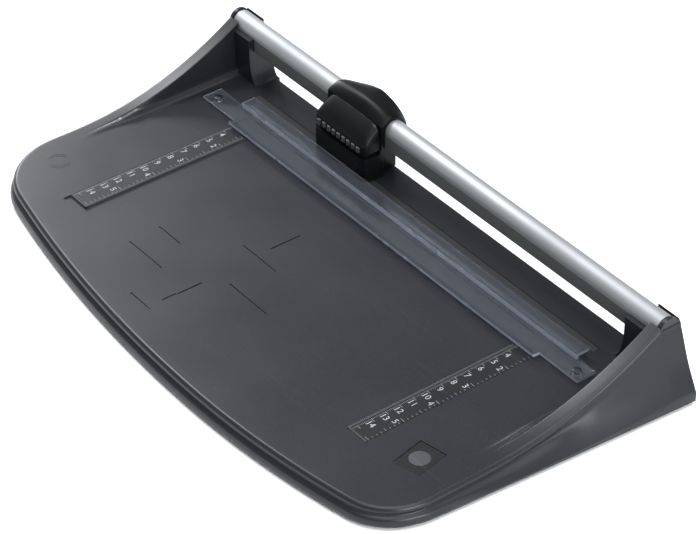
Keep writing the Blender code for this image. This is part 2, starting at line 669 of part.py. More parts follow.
def make_base(material):
    base = add_object("base_shell", base_body(), material)
    for side in (-1, 1):
        join(base, prism(block_outline(side), BLOCK_FRONT_Y, REAR_Y - HOOK_SETBACK, "Y"))
        join(base, rail_hook(side))
        inner, outer = sorted((side * (SOCKET_HALF_LENGTH - 0.001), side * (RIM_HALF_WIDTH - END_CAP_SETBACK)))
        join(base, prism(rail_outline(END_CAP_RIM, RAIL_BOTTOM_Z - 0.002), inner, outer, "X"))
    cut(base, merged(deck_cells() + cheek_cells(-1) + cheek_cells(1)))
    feet = FOOT_PLACES.values()
    pins = [(side * CLAMP_PIN_X, CLAMP_PIN_Y) for side in (-1, 1)]
    screws = [(side * RAIL_SCREW_X, RAIL_Y) for side in (-1, 1)]
    boss_low = BASE_BOTTOM_Z + 0.001
    boss_high = DECK_Z - 0.001
    bosses = [cylinder(p, FOOT_BOSS_RADIUS, FOOT_THICKNESS + GAP, boss_high, sides=16) for p in feet]
    bosses += [cylinder(p, CLAMP_BOSS_RADIUS, boss_low, boss_high, sides=16) for p in pins]
    bosses += [cylinder(p, RAIL_BOSS_RADIUS, boss_low, DECK_Z + 0.004, sides=16) for p in screws]
    join(base, merged(bosses))
    over = DECK_Z + 0.001
    field_left = -RULER_X - RULER_WIDTH / 2 - GAP
    field_right = RULER_X - RULER_WIDTH / 2 - GAP
    cut(base, box((field_left, FIELD_FRONT_Y, DECK_Z - FIELD_DEPTH), (field_right, FIELD_REAR_Y, over)))
    half_width = RULER_WIDTH / 2 + GAP
    floor = DECK_Z - RULER_THICKNESS - GAP
    pockets = [cylinder(p, CLAMP_WELL_RADIUS, DECK_Z - CLAMP_WELL_DEPTH, over) for p in pins]
    for middle in (-RULER_X, RULER_X):
        low = (middle - half_width, RULER_FRONT_Y - GAP, floor)
        pockets.append(box(low, (middle + half_width, RULER_REAR_Y + GAP, over)))
    length = STRIP_HALF_LENGTH + GAP
    half = STRIP_WIDTH / 2 + GAP
    low = (-length, BLADE_Y - half, DECK_Z - STRIP_THICKNESS - GAP)
    pockets.append(box(low, (length, BLADE_Y + half, over)))
    pockets.append(prism(badge_outline(), DECK_Z - BADGE_DEPTH, over, "Z"))
    cut(base, merged(pockets))
    low = (-SOCKET_HALF_LENGTH, RAIL_FRONT_Y - GAP, RAIL_BOTTOM_Z - GAP)
    cut(base, box(low, (SOCKET_HALF_LENGTH, RAIL_REAR_Y + GAP, RAIL_TOP_Z + 0.010)))
    gap_half = BLOCK_HALF_SPAN - BLOCK_FILLET
    low = (-gap_half, REAR_Y - REAR_GAP_SETBACK, -0.001)
    cut(base, box(low, (gap_half, REAR_Y + 0.001, GUIDE_BOTTOM_Z)))
    foot_room = FOOT_RADIUS + GAP
    head_room = RAIL_SCREW_HEAD_RADIUS + HOLE_GAP
    holes = [cylinder(p, foot_room, -0.001, FOOT_THICKNESS + GAP, sides=16) for p in feet]
    holes += [cylinder(p, head_room, -0.001, RAIL_SCREW_SEAT_Z, sides=16) for p in screws]
    cut(base, merged(holes))
    stem_room = FOOT_STEM_RADIUS + GAP
    stem_top = FOOT_THICKNESS + FOOT_STEM_LENGTH + GAP
    cut(base, merged([cylinder(p, stem_room, 0.0, stem_top, sides=16) for p in feet]))
    shank_room = RAIL_SCREW_RADIUS + HOLE_GAP
    pin_room = CLAMP_PIN_RADIUS + HOLE_GAP
    shank_low = DECK_Z - 0.004
    shanks = [cylinder(p, shank_room, shank_low, RAIL_TOP_Z - 0.002, sides=16) for p in screws]
    shanks += [cylinder(p, pin_room, CLAMP_PIN_FOOT_Z, DECK_Z - 0.002, sides=16) for p in pins]
    cut(base, merged(shanks))
    return base


def make_deck_fittings(materials):
    half = STRIP_WIDTH / 2
    low = (-STRIP_HALF_LENGTH, BLADE_Y - half, DECK_Z - STRIP_THICKNESS)
    add_object("cutting_strip", box(low, (STRIP_HALF_LENGTH, BLADE_Y + half, DECK_Z)), materials["strip"])
    for name, side in (("ruler_left", -1), ("ruler_right", 1)):
        low = (side * RULER_X - RULER_WIDTH / 2, RULER_FRONT_Y, DECK_Z - RULER_THICKNESS)
        high = (side * RULER_X + RULER_WIDTH / 2, RULER_REAR_Y, DECK_Z)
        add_object(name, box(low, high), materials["ruler"])
    for name, (x, y) in FOOT_PLACES.items():
        stem_top = FOOT_THICKNESS + FOOT_STEM_LENGTH
        profile = [(0, 0), (FOOT_RADIUS - 0.0006, 0), (FOOT_RADIUS, 0.0006), (FOOT_RADIUS, FOOT_THICKNESS)]
        profile += [(FOOT_STEM_RADIUS, FOOT_THICKNESS), (FOOT_STEM_RADIUS, stem_top), (0, stem_top)]
        add_object(f"foot_{name}", turned(profile, (x, y, 0), sides=20), materials["rubber"])


# ---- rail -------------------------------------------------------------------------------
def make_rail(materials):
    whole = prism(rail_outline(), -RAIL_HALF_LENGTH, RAIL_HALF_LENGTH, "X")
    rail = add_object("rail", whole, materials["aluminium"])
    reach = RAIL_HALF_LENGTH + 0.001
    cavity_half = RAIL_WIDTH / 2 - RAIL_WALL
    floor = RAIL_BOTTOM_Z + RAIL_WALL
    roof = RAIL_TOP_Z - RAIL_WALL - RAIL_ROOF_EXTRA
    shoulder = roof - RAIL_CAVITY_BEVEL
    crown_half = cavity_half - RAIL_CAVITY_BEVEL
    cavity = [(RAIL_Y - cavity_half, floor), (RAIL_Y + cavity_half, floor)]
    cavity += [(RAIL_Y + cavity_half, shoulder), (RAIL_Y + crown_half, roof)]
    cavity += [(RAIL_Y - crown_half, roof), (RAIL_Y - cavity_half, shoulder)]
    cut(rail, prism(cavity, -reach, reach, "X"))
    slot = RAIL_SLOT / 2
    low = (-reach, RAIL_Y - slot, RAIL_BOTTOM_Z - 0.001)
    cut(rail, box(low, (reach, RAIL_Y + slot, floor + 0.0005)))

    tongue_floor = floor + GAP
    tongue_top = tongue_floor + GUIDE_TONGUE
    head_half = cavity_half - GUIDE_EDGE
    neck_half = slot - GAP
    top = GUIDE_BOTTOM_Z + GUIDE_HEIGHT
    guide = [
        (RAIL_FRONT_Y + GUIDE_EDGE, GUIDE_BOTTOM_Z),
        (RAIL_REAR_Y - GUIDE_EDGE, GUIDE_BOTTOM_Z),
        (RAIL_REAR_Y, GUIDE_BOTTOM_Z + GUIDE_EDGE),
        (RAIL_REAR_Y, top),
        (RAIL_Y + neck_half, top),
        (RAIL_Y + neck_half, tongue_floor),
        (RAIL_Y + head_half, tongue_floor),
        (RAIL_Y + head_half, tongue_top),
        (RAIL_Y - head_half, tongue_top),
        (RAIL_Y - head_half, tongue_floor),
        (RAIL_Y - neck_half, tongue_floor),
        (RAIL_Y - neck_half, top),
        (RAIL_FRONT_Y, top),
        (RAIL_FRONT_Y, GUIDE_BOTTOM_Z + GUIDE_EDGE),
    ]
    bar = prism(guide, -GUIDE_HALF_LENGTH, GUIDE_HALF_LENGTH, "X")
    add_object("rail_guide", bar, materials["guide"])

    flange_in = RAIL_HALF_LENGTH + GAP
    flange_out = flange_in + PLUG_FLANGE
    plug_top = shoulder
    hole = RAIL_SCREW_RADIUS + HOLE_GAP
    for name, side in (("left", -1), ("right", 1)):
        low, high = sorted((side * flange_in, side * flange_out))
        plug = add_object(f"rail_plug_{name}", prism(rail_outline(), low, high, "X"), materials["plug"])
        inner = side * (RAIL_HALF_LENGTH - PLUG_REACH)
        low, high = sorted((inner, side * (flange_in + PLUG_FLANGE / 2)))
        corner = (low, RAIL_Y - cavity_half + GAP, floor + GAP)
        join(plug, box(corner, (high, RAIL_Y + cavity_half - GAP, plug_top)))
        place = (side * RAIL_SCREW_X, RAIL_Y)
        cut(plug, cylinder(place, hole, RAIL_BOTTOM_Z - 0.001, RAIL_TOP_Z - 0.0015, sides=16))
        head_z = RAIL_SCREW_SEAT_Z - GAP
        tip_z = plug_top - 0.0004
        profile = [
            (0, head_z - RAIL_SCREW_HEAD),
            (RAIL_SCREW_HEAD_RADIUS * 0.8, head_z - RAIL_SCREW_HEAD),
            (RAIL_SCREW_HEAD_RADIUS, head_z - RAIL_SCREW_HEAD * 2 / 3),
            (RAIL_SCREW_HEAD_RADIUS, head_z),
            (RAIL_SCREW_RADIUS, head_z),
            (RAIL_SCREW_RADIUS, tip_z - 0.001),
            (0, tip_z),
        ]
        add_object(f"rail_screw_{name}", turned(profile, (*place, 0), sides=16), materials["steel"])


# ---- clamp ------------------------------------------------------------------------------
def make_clamp(materials):
    body = add_empty("clamp_axis", (0, CLAMP_PIN_Y, CLAMP_BOTTOM_Z))
    top = CLAMP_BOTTOM_Z + CLAMP_THICKNESS
    shelf_z = CLAMP_BOTTOM_Z + CLAMP_SHELF_RISE
    riser_y = CLAMP_PLATE_REAR_Y - CLAMP_THICKNESS
    profile = [
        (CLAMP_LIP_Y, CLAMP_BOTTOM_Z + 0.6 * CLAMP_LIP_BEVEL),
        (CLAMP_LIP_Y + CLAMP_LIP_BEVEL, CLAMP_BOTTOM_Z),
        (CLAMP_PLATE_REAR_Y, CLAMP_BOTTOM_Z),
        (CLAMP_PLATE_REAR_Y, shelf_z),
        (CLAMP_SHELF_REAR_Y, shelf_z),
        (CLAMP_SHELF_REAR_Y, shelf_z + CLAMP_THICKNESS),
        (riser_y, shelf_z + CLAMP_THICKNESS),
        (riser_y, top),
        (CLAMP_LIP_Y + 3 * CLAMP_LIP_BEVEL, top),
        (CLAMP_LIP_Y, top + CLAMP_LIP_RISE),
    ]
    strip = add_object("clamp_strip", prism(profile, *CLAMP_LIP_SPAN, "X"), materials["clear"], body)
    shelf = [
        (CLAMP_PLATE_FRONT_Y + CLAMP_SHELF_OVERLAP, CLAMP_BOTTOM_Z),
        (CLAMP_PLATE_REAR_Y, CLAMP_BOTTOM_Z),
        (CLAMP_PLATE_REAR_Y, shelf_z),
        (CLAMP_SHELF_REAR_Y, shelf_z),
        (CLAMP_SHELF_REAR_Y, shelf_z + CLAMP_THICKNESS),
        (riser_y, shelf_z + CLAMP_THICKNESS),
        (riser_y, top),
        (CLAMP_PLATE_FRONT_Y + CLAMP_SHELF_OVERLAP, top),
    ]
    join(strip, prism(shelf, *CLAMP_SHELF_SPAN, "X"))
    low = (CLAMP_PLATE_SPAN[0], CLAMP_PLATE_FRONT_Y, CLAMP_BOTTOM_Z)
    join(strip, box(low, (CLAMP_PLATE_SPAN[1], CLAMP_PLATE_REAR_Y, top)))
    places = [(side * CLAMP_PIN_X, CLAMP_PIN_Y) for side in (-1, 1)]
    hole = CLAMP_PIN_RADIUS + HOLE_GAP
    cut(strip, merged([cylinder(p, hole, CLAMP_BOTTOM_Z - 0.001, top + 0.001, sides=16) for p in places]))
    for name, (x, y) in zip(("left", "right"), places):
        foot_z = CLAMP_PIN_FOOT_Z + GAP
        head_z = top + GAP
        profile = [
            (0, foot_z),
            (CLAMP_PIN_RADIUS, foot_z),
            (CLAMP_PIN_RADIUS, head_z),
            (CLAMP_PIN_HEAD_RADIUS, head_z),
            (CLAMP_PIN_HEAD_RADIUS, head_z + CLAMP_PIN_HEAD * 0.55),
            (0, head_z + CLAMP_PIN_HEAD),
        ]
        add_object(f"clamp_pin_{name}", turned(profile, (x, y, 0), sides=16), materials["steel"])
        low, high = DECK_Z - CLAMP_WELL_DEPTH + GAP, CLAMP_BOTTOM_Z - GAP
        radius = (CLAMP_PIN_RADIUS + CLAMP_WELL_RADIUS) / 2
        spring = coil((x, y, 0), radius, CLAMP_SPRING_WIRE, low, high, CLAMP_SPRING_TURNS)
        add_object(f"clamp_spring_{name}", spring, materials["steel"])


# ---- carriage ---------------------------------------------------------------------------
def saddle_top(x, y):
    """Height of the saddle's rounded top: an arch over the rail, nearly level at its front edge."""
    if y < SADDLE_CROWN_Y:
        share = ((SADDLE_CROWN_Y - y) / (SADDLE_CROWN_Y - SADDLE_FRONT_Y)) ** 1.6
        crown = SADDLE_TOP_Z - (SADDLE_TOP_Z - SADDLE_FRONT_TOP_Z) * share
        side = SADDLE_SIDE_Z - (SADDLE_SIDE_Z - SADDLE_FRONT_TOP_Z + SADDLE_FRONT_CROWN) * share
    else:
        share = ((y - SADDLE_CROWN_Y) / (SADDLE_REAR_Y - SADDLE_CROWN_Y)) ** 2.2
        crown = SADDLE_TOP_Z - (SADDLE_TOP_Z - SADDLE_REAR_TOP_Z) * share
        side = SADDLE_SIDE_Z - (SADDLE_SIDE_Z - SADDLE_REAR_SIDE_Z) * share
    offset = x - CARRIAGE_X - SADDLE_CROWN_SHIFT
    if offset < 0:
        across = min(1.0, -offset / (CARRIAGE_HALF_LENGTH + SADDLE_CROWN_SHIFT)) ** 1.2
    else:
        across = min(1.0, offset / (CARRIAGE_HALF_LENGTH - SADDLE_CROWN_SHIFT)) ** 1.7
    return side + (crown - side) * math.sqrt(1 - across)


def arc_places(middle, half, count):
    """Places across a rounded top, closer together near both ends."""
    return [middle - half * math.cos(math.pi * i / count) for i in range(count + 1)]


def button_outline(inset=0.0):
    """The button's outline in (x, y): a rectangle whose front corners are round."""
    low = (CARRIAGE_X - BUTTON_HALF_LENGTH + inset, BUTTON_FRONT_Y + inset)
    high = (CARRIAGE_X + BUTTON_HALF_LENGTH - inset, BUTTON_REAR_Y - inset)
    radius = max(0.0015, BUTTON_CORNER - inset)
    return rounded_rectangle(low, high, radius, corners=(True, True, False, False))


def button_top(x, y):
    """Height of the button's slanted face, which meets the front of the saddle."""
    low = BUTTON_BOTTOM_Z + BUTTON_RIM
    share = min(1.0, max(0.0, (y - BUTTON_FRONT_Y) / (BUTTON_REAR_Y - BUTTON_FRONT_Y)))
    crest = saddle_top(x, SADDLE_FRONT_Y)
    edge = max(0.0, 1 - (abs(x - CARRIAGE_X) / BUTTON_HALF_LENGTH) ** 8)
    return low + (crest - low) * share**0.6 * (0.3 + 0.7 * edge**0.5)


def button_roof(x, y):
    """Height of the button's hollow inside."""
    return button_top(x, y) - BUTTON_ROOF


def make_carriage(materials):
    body = add_empty("carriage_axis", (CARRIAGE_X, RAIL_Y, RAIL_BOTTOM_Z))
    xs = arc_places(CARRIAGE_X, CARRIAGE_HALF_LENGTH, 16)
    ys = [SADDLE_FRONT_Y + (SADDLE_REAR_Y - SADDLE_FRONT_Y) * i / 8 for i in range(9)]
    floor = GUARD_TOP_Z + GAP
    dome = height_solid(xs, ys, saddle_top, lambda x, y: floor)
    shell = add_object("carriage_shell", dome, materials["shell"], body)
    reach = CARRIAGE_HALF_LENGTH + 0.001
    leg_half = CARRIAGE_HALF_LENGTH - SADDLE_LEG_INSET
    rear_low = (CARRIAGE_X - leg_half, RAIL_REAR_Y + 2 * SLIDE_GAP, SADDLE_REAR_BOTTOM_Z)
    join(shell, box(rear_low, (CARRIAGE_X + leg_half, SADDLE_REAR_Y - 0.0006, floor + 0.004)))
    channel = rail_outline(SLIDE_GAP, floor - 0.005)
    cut(shell, prism(channel, CARRIAGE_X - reach, CARRIAGE_X + reach, "X"))
    shoe_z = GUIDE_BOTTOM_Z + GUIDE_HEIGHT / 2
    shoes = {
        "front": (RAIL_FRONT_Y - GAP - SHOE_THICKNESS, RAIL_FRONT_Y - GAP),
        "rear": (RAIL_REAR_Y + GAP, RAIL_REAR_Y + GAP + SHOE_THICKNESS),
    }
    for name, (front, rear) in shoes.items():
        low = (CARRIAGE_X - SHOE_HALF_LENGTH, front, shoe_z - SHOE_HEIGHT / 2)
        high = (CARRIAGE_X + SHOE_HALF_LENGTH, rear, shoe_z + SHOE_HEIGHT / 2)
        add_object(f"carriage_shoe_{name}", box(low, high), materials["shoe"], body)
        cut(shell, box([v - GAP for v in low], [v + GAP for v in high]))
    screws = [(CARRIAGE_X + side * CARRIAGE_SCREW_X, SCREW_Y) for side in (-1, 1)]
    tip_z = floor + CARRIAGE_SCREW_BITE
    hole = CARRIAGE_SCREW_RADIUS + HOLE_GAP
    cut(shell, merged([cylinder(p, hole, floor - 0.001, tip_z + GAP, sides=12) for p in screws]))

    left, right = CARRIAGE_X - GUARD_HALF_LENGTH, CARRIAGE_X + GUARD_HALF_LENGTH
    round_front = (True, True, False, False)
    low, high = (left, GUARD_FRONT_Y), (right, GUARD_REAR_Y)
    outline = rounded_rectangle(low, high, GUARD_CORNER, corners=round_front)
    block = prism(outline, GUARD_BOTTOM_Z, GUARD_TOP_Z, "Z")
    guard = add_object("carriage_base", block, materials["guard"], body)
    low = (CARRIAGE_X - TAIL_HALF_LENGTH, GUARD_REAR_Y - 0.001, GUARD_BOTTOM_Z)
    join(guard, box(low, (CARRIAGE_X + TAIL_HALF_LENGTH, TAIL_REAR_Y, GUARD_TOP_Z)))
    inset = BUTTON_WALL + SLIDE_GAP
    neck_half = BUTTON_HALF_LENGTH - inset
    neck_low = (CARRIAGE_X - neck_half, BUTTON_FRONT_Y + inset)
    neck_high = (CARRIAGE_X + neck_half, BUTTON_REAR_Y - inset)
    neck = rounded_rectangle(neck_low, neck_high, BUTTON_CORNER - inset, corners=round_front)
    low, high = (left - 0.001, GUARD_FRONT_Y - 0.001), (right + 0.001, BUTTON_REAR_Y + GAP)
    around = rounded_rectangle(low, high, 0.001)
    over = GUARD_TOP_Z + 0.001
    cut(guard, height_ring(around, neck, GUARD_SHOULDER_Z, over))
    pocket_low = (CARRIAGE_X - POCKET_HALF_LENGTH, POCKET_FRONT_Y, GUARD_BOTTOM_Z + GUARD_FLOOR)
    cut(guard, box(pocket_low, (CARRIAGE_X + POCKET_HALF_LENGTH, POCKET_REAR_Y, over)))
    slot = BLADE_THICKNESS / 2 + SLIDE_GAP
    slot_half = math.sqrt(BLADE_RADIUS**2 - (BLADE_RADIUS - BLADE_SHOWN) ** 2)
    low = (CARRIAGE_X - slot_half, BLADE_Y - slot, GUARD_BOTTOM_Z - 0.001)
    cut(guard, box(low, (CARRIAGE_X + slot_half, BLADE_Y + slot, GUARD_BOTTOM_Z + GUARD_FLOOR + 0.001)))
    spring_place = (CARRIAGE_X + BUTTON_SPRING_X, BLADE_Y)
    spring_room = BUTTON_SPRING_RADIUS + BUTTON_SPRING_WIRE + SLIDE_GAP
    cut(guard, cylinder(spring_place, spring_room, BUTTON_SPRING_SEAT_Z, over, sides=16))
    head_hole = CARRIAGE_SCREW_HEAD_RADIUS + HOLE_GAP
    under = GUARD_BOTTOM_Z - 0.001
    cut(guard, merged([cylinder(p, head_hole, under, CARRIAGE_SCREW_SEAT_Z, sides=12) for p in screws]))
    shank_low = CARRIAGE_SCREW_SEAT_Z - 0.001
    cut(guard, merged([cylinder(p, hole, shank_low, over, sides=12) for p in screws]))
    for name, (x, y) in zip(("left", "right"), screws):
        head_z = CARRIAGE_SCREW_SEAT_Z - GAP
        profile = [
            (0, head_z - CARRIAGE_SCREW_HEAD),
            (CARRIAGE_SCREW_HEAD_RADIUS, head_z - CARRIAGE_SCREW_HEAD),
            (CARRIAGE_SCREW_HEAD_RADIUS, head_z),
            (CARRIAGE_SCREW_RADIUS, head_z),
            (CARRIAGE_SCREW_RADIUS, tip_z - 0.0008),
            (0, tip_z),
        ]
        add_object(f"carriage_screw_{name}", turned(profile, (x, y, 0), sides=12), materials["steel"], body)
    spring = coil(
        (*spring_place, 0),
        BUTTON_SPRING_RADIUS,
        BUTTON_SPRING_WIRE,
        BUTTON_SPRING_SEAT_Z + GAP,
        BUTTON_SPRING_TOP_Z,
        BUTTON_SPRING_TURNS,
    )
    add_object("button_spring", spring, materials["steel"], body)
    return body


def height_ring(outline, hole, bottom, top):
    """A sleeve: an outline with a hole in it, extruded along Z."""
    bm = bmesh.new()
    edges = []
    for points in (outline, hole):
        verts = [bm.verts.new((x, y, bottom)) for x, y in points]
        edges += [bm.edges.new((verts[i], verts[(i + 1) % len(verts)])) for i in range(len(verts))]
    faces = bmesh.ops.triangle_fill(bm, edges=edges, use_beauty=True)["geom"]
    faces = [f for f in faces if isinstance(f, bmesh.types.BMFace)]
    raised = bmesh.ops.extrude_face_region(bm, geom=faces)["geom"]
    raised = [v for v in raised if isinstance(v, bmesh.types.BMVert)]
    bmesh.ops.translate(bm, verts=raised, vec=(0, 0, top - bottom))
    return bm


def capped_solid(outline, bottom, top, rings=5):
    """A solid on an outline whose top follows a height function, by shrinking rings."""
    bm = bmesh.new()
    centre_x = sum(x for x, _ in outline) / len(outline)
    centre_y = sum(y for _, y in outline) / len(outline)
    count = len(outline)
    rows = [[bm.verts.new((x, y, bottom)) for x, y in outline]]
    for k in range(rings):
        scale = 1 - k / rings
        row = []
        for x, y in outline:
            px, py = centre_x + (x - centre_x) * scale, centre_y + (y - centre_y) * scale
            row.append(bm.verts.new((px, py, top(px, py))))
        rows.append(row)
    middle = bm.verts.new((centre_x, centre_y, top(centre_x, centre_y)))
    bm.faces.new(rows[0])
    for lower, upper in zip(rows, rows[1:]):
        for i in range(count):
            after = (i + 1) % count
            bm.faces.new((lower[i], lower[after], upper[after], upper[i]))
    for i in range(count):
        bm.faces.new((rows[-1][i], rows[-1][(i + 1) % count], middle))
    return bm


def refined(outline, longest=0.004):
    """The same outline with long edges divided."""
    points = []
    for (x0, y0), (x1, y1) in zip(outline, outline[1:] + outline[:1]):
        count = max(1, math.ceil(math.hypot(x1 - x0, y1 - y0) / longest))
        points += [(x0 + (x1 - x0) * i / count, y0 + (y1 - y0) * i / count) for i in range(count)]
    return points


def make_button_and_blade(materials, carriage):
    body = add_empty("button_axis", (CARRIAGE_X, BLADE_Y, BLADE_Z), carriage)
    bpy.context.view_layer.update()
    outline = refined(button_outline())
    cap = capped_solid(outline, BUTTON_BOTTOM_Z, button_top)
    button = add_object("press_button", cap, materials["button"])
    inner = refined(button_outline(BUTTON_WALL))
    hollow = capped_solid(inner, BUTTON_BOTTOM_Z - 0.001, button_roof)
    cut(button, hollow)

    left, right = CARRIAGE_X - HOLDER_HALF_LENGTH, CARRIAGE_X + HOLDER_HALF_LENGTH
    bottom = BLADE_Z - AXLE_HEAD_RADIUS - HOLDER_MARGIN
    fork = [
        (HOLDER_FRONT_Y, bottom),
        (HOLDER_FRONT_Y + HOLDER_PLATE, bottom),
        (HOLDER_FRONT_Y + HOLDER_PLATE, HOLDER_BRIDGE_Z),
        (HOLDER_REAR_Y - HOLDER_PLATE, HOLDER_BRIDGE_Z),
        (HOLDER_REAR_Y - HOLDER_PLATE, bottom),
        (HOLDER_REAR_Y, bottom),
        (HOLDER_REAR_Y, SADDLE_TOP_Z),
        (HOLDER_FRONT_Y, SADDLE_TOP_Z),
    ]
    holder = add_object("blade_holder", prism(fork, left, right, "X"), materials["guard"])
    room = capped_solid(inner, GUARD_BOTTOM_Z, lambda x, y: button_roof(x, y) - GAP)
    combine(holder, room, "INTERSECT")
    bore = AXLE_RADIUS + HOLE_GAP
    low, high = HOLDER_FRONT_Y - 0.001, HOLDER_REAR_Y + 0.001
    cut(holder, cylinder((CARRIAGE_X, BLADE_Z), bore, low, high, "Y", 16))

    groove_radius = AXLE_RADIUS - CLIP_GROOVE
    tail = AXLE_REAR_Y + GAP / 2
    profile = [
        (0, AXLE_FRONT_Y - AXLE_HEAD),
        (AXLE_HEAD_RADIUS, AXLE_FRONT_Y - AXLE_HEAD),
        (AXLE_HEAD_RADIUS, AXLE_FRONT_Y),
        (AXLE_RADIUS, AXLE_FRONT_Y),
        (AXLE_RADIUS, HOLDER_REAR_Y + GAP / 2),
        (groove_radius, HOLDER_REAR_Y + GAP / 2),
        (groove_radius, tail),
        (0, tail),
    ]
    axle = turned(profile, (CARRIAGE_X, 0, BLADE_Z), "Y", 16)
    add_object("blade_axle", axle, materials["steel"])
    clip_front = HOLDER_REAR_Y + GAP
    clip_rear = clip_front + CLIP_THICKNESS
    clip_bore = groove_radius + HOLE_GAP
    ring = [(clip_bore, clip_front), (CLIP_RADIUS, clip_front)]
    ring += [(CLIP_RADIUS, clip_rear), (clip_bore, clip_rear)]
    add_object("blade_clip", turned(ring, (CARRIAGE_X, 0, BLADE_Z), "Y", 16), materials["steel"])

    half = BLADE_THICKNESS / 2
    edge = BLADE_RADIUS - BLADE_BEVEL
    seat = HUB_RADIUS + GAP
    disc = [(seat, -half), (edge, -half), (BLADE_RADIUS, 0), (edge, half), (seat, half)]
    add_object("cutting_blade", turned(disc, (CARRIAGE_X, BLADE_Y, BLADE_Z), "Y", 48), materials["blade"])
    groove = half + GAP
    hub = [
        (HUB_BORE_RADIUS, -HUB_HALF_WIDTH),
        (HUB_FLANGE_RADIUS, -HUB_HALF_WIDTH),
        (HUB_FLANGE_RADIUS, -groove),
        (HUB_RADIUS, -groove),
        (HUB_RADIUS, groove),
        (HUB_FLANGE_RADIUS, groove),
        (HUB_FLANGE_RADIUS, HUB_HALF_WIDTH),
        (HUB_BORE_RADIUS, HUB_HALF_WIDTH),
    ]
    add_object("blade_hub", turned(hub, (CARRIAGE_X, BLADE_Y, BLADE_Z), "Y"), materials["shoe"])
    for name in ("press_button", "blade_holder", "blade_axle", "blade_clip", "cutting_blade", "blade_hub"):
        obj = bpy.data.objects[name]
        obj.parent = body
        obj.matrix_parent_inverse = body.matrix_world.inverted()


def main():
    clear_scene()
    materials = {
        "base": make_material("base_plastic", (0.045, 0.047, 0.053), 0.45),
        "ruler": make_material("ruler_plastic", (0.030, 0.031, 0.034), 0.4),
        "strip": make_material("strip_plastic", (0.06, 0.06, 0.065), 0.7),
        "rubber": make_material("foot_rubber", (0.02, 0.02, 0.02), 0.85),
        "aluminium": make_material("rail_aluminium", (0.75, 0.76, 0.77), 0.3, 1.0),
        "guide": make_material("guide_plastic", (0.08, 0.085, 0.085), 0.5),
        "plug": make_material("plug_plastic", (0.02, 0.02, 0.022), 0.5),
        "steel": make_material("steel", (0.6, 0.6, 0.6), 0.3, 1.0),
        "clear": make_material("clear_plastic", (0.35, 0.40, 0.50), 0.1, 0.0, 0.5),
        "shell": make_material("shell_plastic", (0.012, 0.013, 0.014), 0.3),
        "guard": make_material("guard_plastic", (0.03, 0.03, 0.032), 0.45),
        "shoe": make_material("shoe_plastic", (0.7, 0.7, 0.68), 0.5),
        "button": make_material("button_plastic", (0.01, 0.011, 0.012), 0.35),
        "blade": make_material("blade_steel", (0.7, 0.7, 0.71), 0.2, 1.0),
    }
    make_base(materials["base"])
    make_deck_fittings(materials)
    make_rail(materials)
    make_clamp(materials)
    carriage = make_carriage(materials)
    make_button_and_blade(materials, carriage)


main()
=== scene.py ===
"""Rotary paper trimmer: the finished look of every piece, built round the fixed frame.

Everything is in metres, +X along the rail, +Y to the back, +Z up.
"""

from __future__ import annotations

import logging
import math
from dataclasses import dataclass, field
from enum import Enum
from typing import Callable, Iterable, Sequence

import bpy
from mathutils import Matrix, Vector


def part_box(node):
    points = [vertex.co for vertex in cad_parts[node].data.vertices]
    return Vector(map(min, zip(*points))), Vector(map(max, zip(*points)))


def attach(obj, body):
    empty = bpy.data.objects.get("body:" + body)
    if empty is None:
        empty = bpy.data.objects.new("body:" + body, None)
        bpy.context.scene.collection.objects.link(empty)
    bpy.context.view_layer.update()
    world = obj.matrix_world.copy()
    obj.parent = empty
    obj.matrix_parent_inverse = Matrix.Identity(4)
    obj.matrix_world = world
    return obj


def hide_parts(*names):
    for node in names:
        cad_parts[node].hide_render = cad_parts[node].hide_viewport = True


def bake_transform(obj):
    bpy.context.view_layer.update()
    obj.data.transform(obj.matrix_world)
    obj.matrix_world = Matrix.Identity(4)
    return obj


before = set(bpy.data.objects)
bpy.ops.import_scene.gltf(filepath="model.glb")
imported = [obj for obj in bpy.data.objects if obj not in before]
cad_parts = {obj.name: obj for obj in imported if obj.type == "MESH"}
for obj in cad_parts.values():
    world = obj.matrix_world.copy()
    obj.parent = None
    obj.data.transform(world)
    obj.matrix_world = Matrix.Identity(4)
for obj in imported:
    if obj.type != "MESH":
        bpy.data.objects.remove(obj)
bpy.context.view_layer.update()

Point = tuple[float, float, float]
Flat = tuple[float, float]
Colour = tuple[float, float, float]
Build = bpy.types.Object

LOG = logging.getLogger("trimmer")

DUST_COLOUR: Colour = (0.34, 0.33, 0.31)
DUST_ROUGHNESS = 0.85
SCUFF_ROUGHENS = 0.2
PLASTIC_IOR = 1.49
FIT = 0.0003  # the gap between pieces that fit into each other
OVERRUN = 0.001  # how far a cutter runs past the face it opens
SIDES = (-1, 1)


class Axis(Enum):
    """An axis of the frame, with the order in which a flat outline's values are used."""

    X = "X"
    Y = "Y"
    Z = "Z"

    def place(self, a: float, b: float, c: float) -> Point:
        """A point from its two values across the axis and its value along it."""
        return {Axis.X: (c, a, b), Axis.Y: (a, c, b), Axis.Z: (a, b, c)}[self]

    def along(self, length: float) -> Point:
        """A step of this length along the axis."""
        return self.place(0.0, 0.0, length)


class Body(Enum):
    """The bodies of the mechanism."""

    BASE = "base"
    CLAMP = "clamp"
    CARRIAGE = "carriage"
    BUTTON = "button"
    BLADE = "blade"


# ---- node groups and finishes -------------------------------------------------------------
class Grain(Enum):
    """How the fine texture of a finish runs."""

    MOULDED = (1.0, 1.0, 1.0)
    DRAWN_X = (0.012, 1.0, 1.0)
    TURNED = (1.0, 0.15, 1.0)


